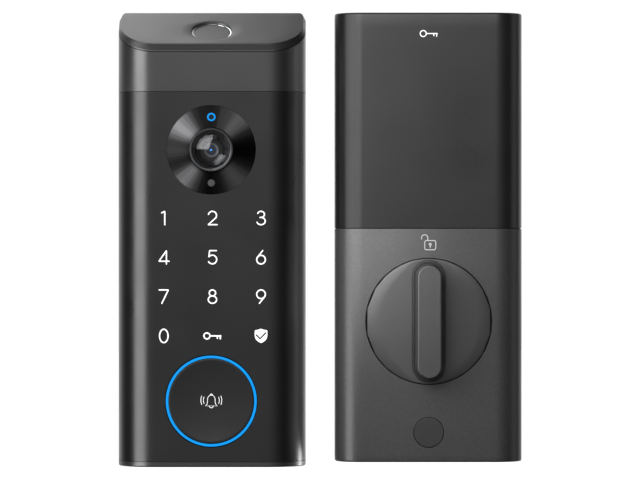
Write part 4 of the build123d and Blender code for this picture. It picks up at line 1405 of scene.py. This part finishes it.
    def disc_face(self, spot: Spot, front: float) -> Obj:
        """The disc: rings that run from the groove round the grip out to the round rim, and a back.

        Args:
            spot: The turn's axis.
            front: Depth of the disc's face.

        Returns:
            The object.
        """
        outline = self.stadium(self.grip_width + 0.2, self.grip_length + 0.2)
        turn = np.arctan2(outline[:, 1], outline[:, 0])
        round_edge = lambda radius: np.column_stack([radius * np.cos(turn), radius * np.sin(turn)])
        start = outline + side_normals(outline, True) * 0.1
        rim, radius = self.disc_radius - 0.12, self.disc_radius
        levels = [(0 * outline, -0.8), (outline, -0.8), (outline, -0.12), (start, 0.0)]
        levels += [(start * (1 - s) + round_edge(rim) * s, 0.0) for s in (0.1, 0.35, 0.7)]
        levels += [(round_edge(r), rise) for r, rise in (
            (rim, 0.0), (radius - 0.03, -0.04), (radius, -0.13), (radius, -3.0), (8.9, -3.0), (8.9, -7.9),
            (6.6, -7.9), (6.6, -3.1), (0.0, -3.1))]
        grid = np.stack([spot.at(p[:, 0], p[:, 1], np.full(len(p), front + rise)) for p, rise in levels], 1)
        return Skin().grid(grid).build("thumb_turn_face", sharp=35)

    def lock_button(self) -> None:
        """The round button: a flat cap with a fine polished-over rim, a flange and a stem."""
        front, radius = self.plan.front - 0.25, self.button_radius
        side = [(radius - 0.5, front), (radius, front), (radius, front - 2.0), (7.0, front - 2.15),
                (7.0, front - 3.05), (1.5, front - 3.05), (1.5, front - 4.75)]
        profile = strung([[0.0, front - 0.03]], rounded(side, 0.22), [[0.0, front - 4.75]])
        self.bench.spin("lock_button_cap", Spot((self.x, 0.0, self.button_z)), profile, 128, Palette.button,
                        Slot.GREY, "lock_button", body=Body.LOCK_BUTTON)

    def signs(self) -> None:
        """The open padlock over the disc and a small key sign near the top of the cover."""
        pen, face = Signs(), -self.plan.front
        # The padlock is print with no lamp behind it; its glow is painted light.
        self.bench.sign("padlock_sign", Spot((self.x + 0.55, face, self.seam - 6.2)), pen.padlock(), 0.38,
                        Palette.painted_glow_print, Body.INTERIOR)
        # The cover's key sign has no lamp behind it; its glow is painted light.
        self.bench.sign("cover_key_sign", Spot((self.x, face, self.high - 8.0)), pen.key(), 0.4,
                        Palette.legend, Body.COVER)

    def behind(self) -> None:
        """The pieces that show from behind or with the cover off, and the ones inside."""
        inside = Body.INTERIOR
        self.bench.copies(
            ("door_plate", "mounting_plate", inside, Palette.zinc, Slot.ZINC),
            ("inner_chassis", "interior_chassis", inside, Palette.zinc, Slot.ZINC),
            ("plate_fixings", "plate_screws", inside, Palette.steel, Slot.STEEL),
            ("battery_block", "battery_pack", inside, Palette.wrap, Slot.WRAP),
            ("battery_holder", "battery_tray", inside, Palette.dark, Slot.DARK),
            ("hub", "spindle_hub", Body.THUMB_TURN, Palette.steel, Slot.STEEL))
        self.bench.paint({
            Palette.dark: "buzzer lock_button_switch interior_cable_socket gearbox_plate",
            Palette.board: "interior_main_board",
            Palette.steel: "housing_screws compound_axle retaining_ring motor",
            Palette.brass: "hub_bush motor_pinion battery_contacts",
            Palette.acetal: "main_gear compound_gear"})


# ---- Studio -------------------------------------------------------------------------------------------
@dataclass(frozen=True)
class Softbox:
    """A rectangular light aimed at a point; azimuth is to the left of the camera, in degrees."""

    name: str
    azimuth: float
    elevation: float
    distance: float
    width: float
    height: float
    radiance: float

    def place(self, target: Vector, receivers: bpy.types.Collection | None = None,
              blockers: bpy.types.Collection | None = None) -> None:
        """Makes the light: power is pi times radiance times area.

        Args:
            target: The point that it faces, in metres.
            receivers: The only pieces that it lights, if not all.
            blockers: The only pieces that shade it, if not all.
        """
        light = bpy.data.lights.new(self.name, "AREA")
        light.shape, light.size, light.size_y = "RECTANGLE", self.width, self.height
        light.energy = math.pi * self.radiance * self.width * self.height
        obj = bpy.data.objects.new(self.name, light)
        a, e = math.radians(self.azimuth), math.radians(self.elevation)
        away = np.array([-math.sin(a) * math.cos(e), -math.cos(a) * math.cos(e), math.sin(e)])
        obj.location = np.array(target) + away * self.distance
        obj.rotation_euler = (math.pi / 2 - e, 0.0, -a)
        obj.visible_camera = False
        bpy.context.scene.collection.objects.link(obj)
        if receivers is not None:
            obj.light_linking.receiver_collection = receivers
        if blockers is not None:
            obj.light_linking.blocker_collection = blockers


@dataclass
class Studio:
    """A pale floor, a white room, soft lights and a long lens held square to the lock."""

    lens: float = 250.0
    sensor: float = 36.0
    distance: float = 1711.0
    reference_depth: float = 12.5
    aim: tuple[float, float] = (41.5, 30.9)
    floor_level: float = -160.0
    floor_half: float = 6000.0

    def build(self, bench: Bench) -> None:
        """Makes floor, room, lights and camera."""
        self.floor()
        self.room()
        self.lights(bench)
        self.camera()

    def lights(self, bench: Bench) -> None:
        """A wide key for each group of pieces, lights above and behind, and the camera ring's own."""
        tops = "top_cap slanted_top_plate fingerprint_ring fingerprint_pad"
        outer = self.group(bench, "exterior_shells", f"front_cover bottom_trim {tops}")
        plate = self.group(bench, "slanted_top_pieces", tops)
        sides = self.group(bench, "exterior_sides", "front_cover top_cap bottom_trim")
        inner = self.group(bench, "interior_shells", "lower_housing battery_cover_shell thumb_grip")
        lower = self.group(bench, "housing_pieces",
                           "lower_housing thumb_turn_face thumb_grip lock_button_cap")
        lid = self.group(bench, "battery_cover_only", "battery_cover_shell")
        cone = self.group(bench, "cone_pieces", "camera_cone")
        glass = self.group(bench, "lens_cover_only", "lens_cover_dome")
        optic = self.group(bench, "front_lens_only", "front_lens_element")
        apart = " ".join(o.name for group in (lower, lid, cone, glass, optic) for o in group.objects)
        rest = self.group(bench, "pieces_with_their_own_key", apart, leave_out=True)
        clear = self.group(bench, "lens_without_front_light", "lens_cover_dome front_lens_element",
                           leave_out=True)
        target, centre = (self.aim[0] * MM, -0.03, self.aim[1] * MM), (0.0, -0.0265, 0.0653)
        Softbox("key_light", 54.0, 4.0, 1.3, 0.8, 1.9, 7.0).place(target, rest)
        Softbox("housing_key_light", 56.0, 4.0, 1.3, 0.8, 1.9, 5.2).place(target, lower)
        Softbox("cover_key_light", 56.0, 4.0, 1.3, 0.8, 1.9, 2.7).place(target, lid)
        Softbox("front_light", 4.0, 20.0, 1.3, 1.0, 0.3, 4.2).place(target, clear)
        Softbox("top_light", 20.0, 65.0, 1.2, 1.2, 0.8, 0.4).place(target)
        Softbox("right_rim_light", -116.0, 0.0, 1.0, 0.22, 1.9, 16.0).place((0.0, -0.02, 0.03), sides, outer)
        Softbox("back_top_light", 140.0, 48.0, 0.34, 0.3, 0.24, 1.8).place((0.0, -0.015, 0.115), plate, outer)
        Softbox("interior_side_light", -90.0, 0.0, 1.0, 0.5, 1.9, 0.6).place((0.0828, -0.02, 0.03), inner,
                                                                             inner)
        Softbox("near_cover_light", 28.0, 14.0, 0.2, 0.14, 0.26, 2.4).place((0.0828, -0.03, 0.075), lid)
        Softbox("near_housing_light", 24.0, 24.0, 0.11, 0.1, 0.1, 6.0).place((0.0728, -0.035, 0.004), lower)
        for side, name in ((1, "left"), (-1, "right")):
            Softbox(f"cone_light_{name}", 42.0 * side, 0.0, 0.5, 0.35, 0.35, 3.2).place(centre, cone, cone)
        Softbox("lens_window_light", 38.0, 31.0, 0.5, 0.58, 0.52, 2.8).place(centre, glass, cone)
        Softbox("lens_crescent_light", -62.0, -50.0, 0.5, 0.7, 0.7, 2.6).place(centre, glass, glass)
        Softbox("front_lens_light", 12.0, 6.0, 0.5, 0.26, 0.26, 14.0).place(centre, optic, cone)

    def group(self, bench: Bench, name: str, pieces: str, leave_out: bool = False) -> bpy.types.Collection:
        """Names the pieces that a light reaches, or the only ones that it leaves out.

        Args:
            bench: The bench that made the pieces.
            name: The collection's name.
            pieces: The pieces' names in one string.
            leave_out: True where the light reaches all but these.

        Returns:
            A collection that isn't linked to the scene.
        """
        group = bpy.data.collections.new(name)
        for obj in bench.placed:
            if obj.name in pieces.split():
                group.objects.link(obj)
        if leave_out:
            for member in group.collection_objects:
                member.light_linking.link_state = "EXCLUDE"
        return group

    def floor(self) -> None:
        """A wide pale floor well below the lock, which hangs on a door."""
        side = np.linspace(-self.floor_half, self.floor_half, 3)
        x, y = np.meshgrid(side, side, indexing="ij")
        grid = np.stack([x, y, np.full_like(x, self.floor_level)], -1)
        obj = Skin().grid(grid).build("studio_floor", (0, 0, -10000))
        pale = Nodes("pale_floor", Base_Color=(0.9, 0.9, 0.9, 1.0), Roughness=0.9,
                     Emission_Color=(1.0, 1.0, 1.0, 1.0), Emission_Strength=0.9)
        obj.data.materials.append(pale.material)
        obj.visible_diffuse = obj.visible_glossy = False

    def room(self) -> None:
        """A white room to the camera; to the lock it is bright behind, dim in front, dark between."""
        scene = bpy.context.scene
        scene.world = bpy.data.worlds.new("studio_room")
        scene.world.use_nodes = True
        tree = scene.world.node_tree
        tree.nodes.clear()
        kinds = "TexCoord SeparateXYZ MapRange ValToRGB Background Background MixShader LightPath OutputWorld"
        nodes = [tree.nodes.new("ShaderNode" + kind) for kind in kinds.split()]
        place, parts, ramp, shade, dim, white, mix, path, out = nodes
        ramp.inputs["From Min"].default_value, ramp.inputs["From Max"].default_value = -1.0, 1.0
        white.inputs["Color"].default_value = (1.0, 1.0, 1.0, 1.0)
        white.inputs["Strength"].default_value = 1.05
        stops = ((0.0, 0.48), (0.04, 0.34), (0.1, 0.14), (0.2, 0.03), (0.5, 0.0), (0.66, 0.02), (0.77, 0.3),
                 (0.86, 0.85), (1.0, 1.1))
        elements = shade.color_ramp.elements
        for position, _ in stops[1:-1]:
            elements.new(position)
        for element, (_, level) in zip(elements, stops):
            element.color = (level, level, level, 1.0)
        for source, socket in (
                (place.outputs["Generated"], parts.inputs[0]), (parts.outputs["Y"], ramp.inputs["Value"]),
                (ramp.outputs["Result"], shade.inputs["Fac"]), (shade.outputs["Color"], dim.inputs["Color"]),
                (path.outputs["Is Camera Ray"], mix.inputs[0]), (dim.outputs[0], mix.inputs[1]),
                (white.outputs[0], mix.inputs[2]), (mix.outputs[0], out.inputs["Surface"])):
            tree.links.new(source, socket)
        scene.view_settings.view_transform = "Standard"

    def camera(self) -> None:
        """A long lens that looks straight along +Y at the middle of the two units."""
        data = bpy.data.cameras.new("portrait_lens")
        data.lens, data.sensor_width = self.lens, self.sensor
        obj = bpy.data.objects.new("camera", data)
        obj.location = (self.aim[0] * MM, -(self.distance + self.reference_depth) * MM, self.aim[1] * MM)
        obj.rotation_euler = (math.pi / 2, 0.0, 0.0)
        bpy.context.scene.collection.objects.link(obj)
        bpy.context.scene.camera = obj


def main() -> None:
    """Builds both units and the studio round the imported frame."""
    logging.basicConfig(level=logging.INFO, format="%(name)s: %(message)s")
    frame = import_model()
    bench = Bench(frame)
    ExteriorUnit(bench).build()
    InteriorUnit(bench).build()
    Studio().build(bench)
    LOG.info("%d new pieces", len(bench.placed))


if __name__ == "__main__":
    main()
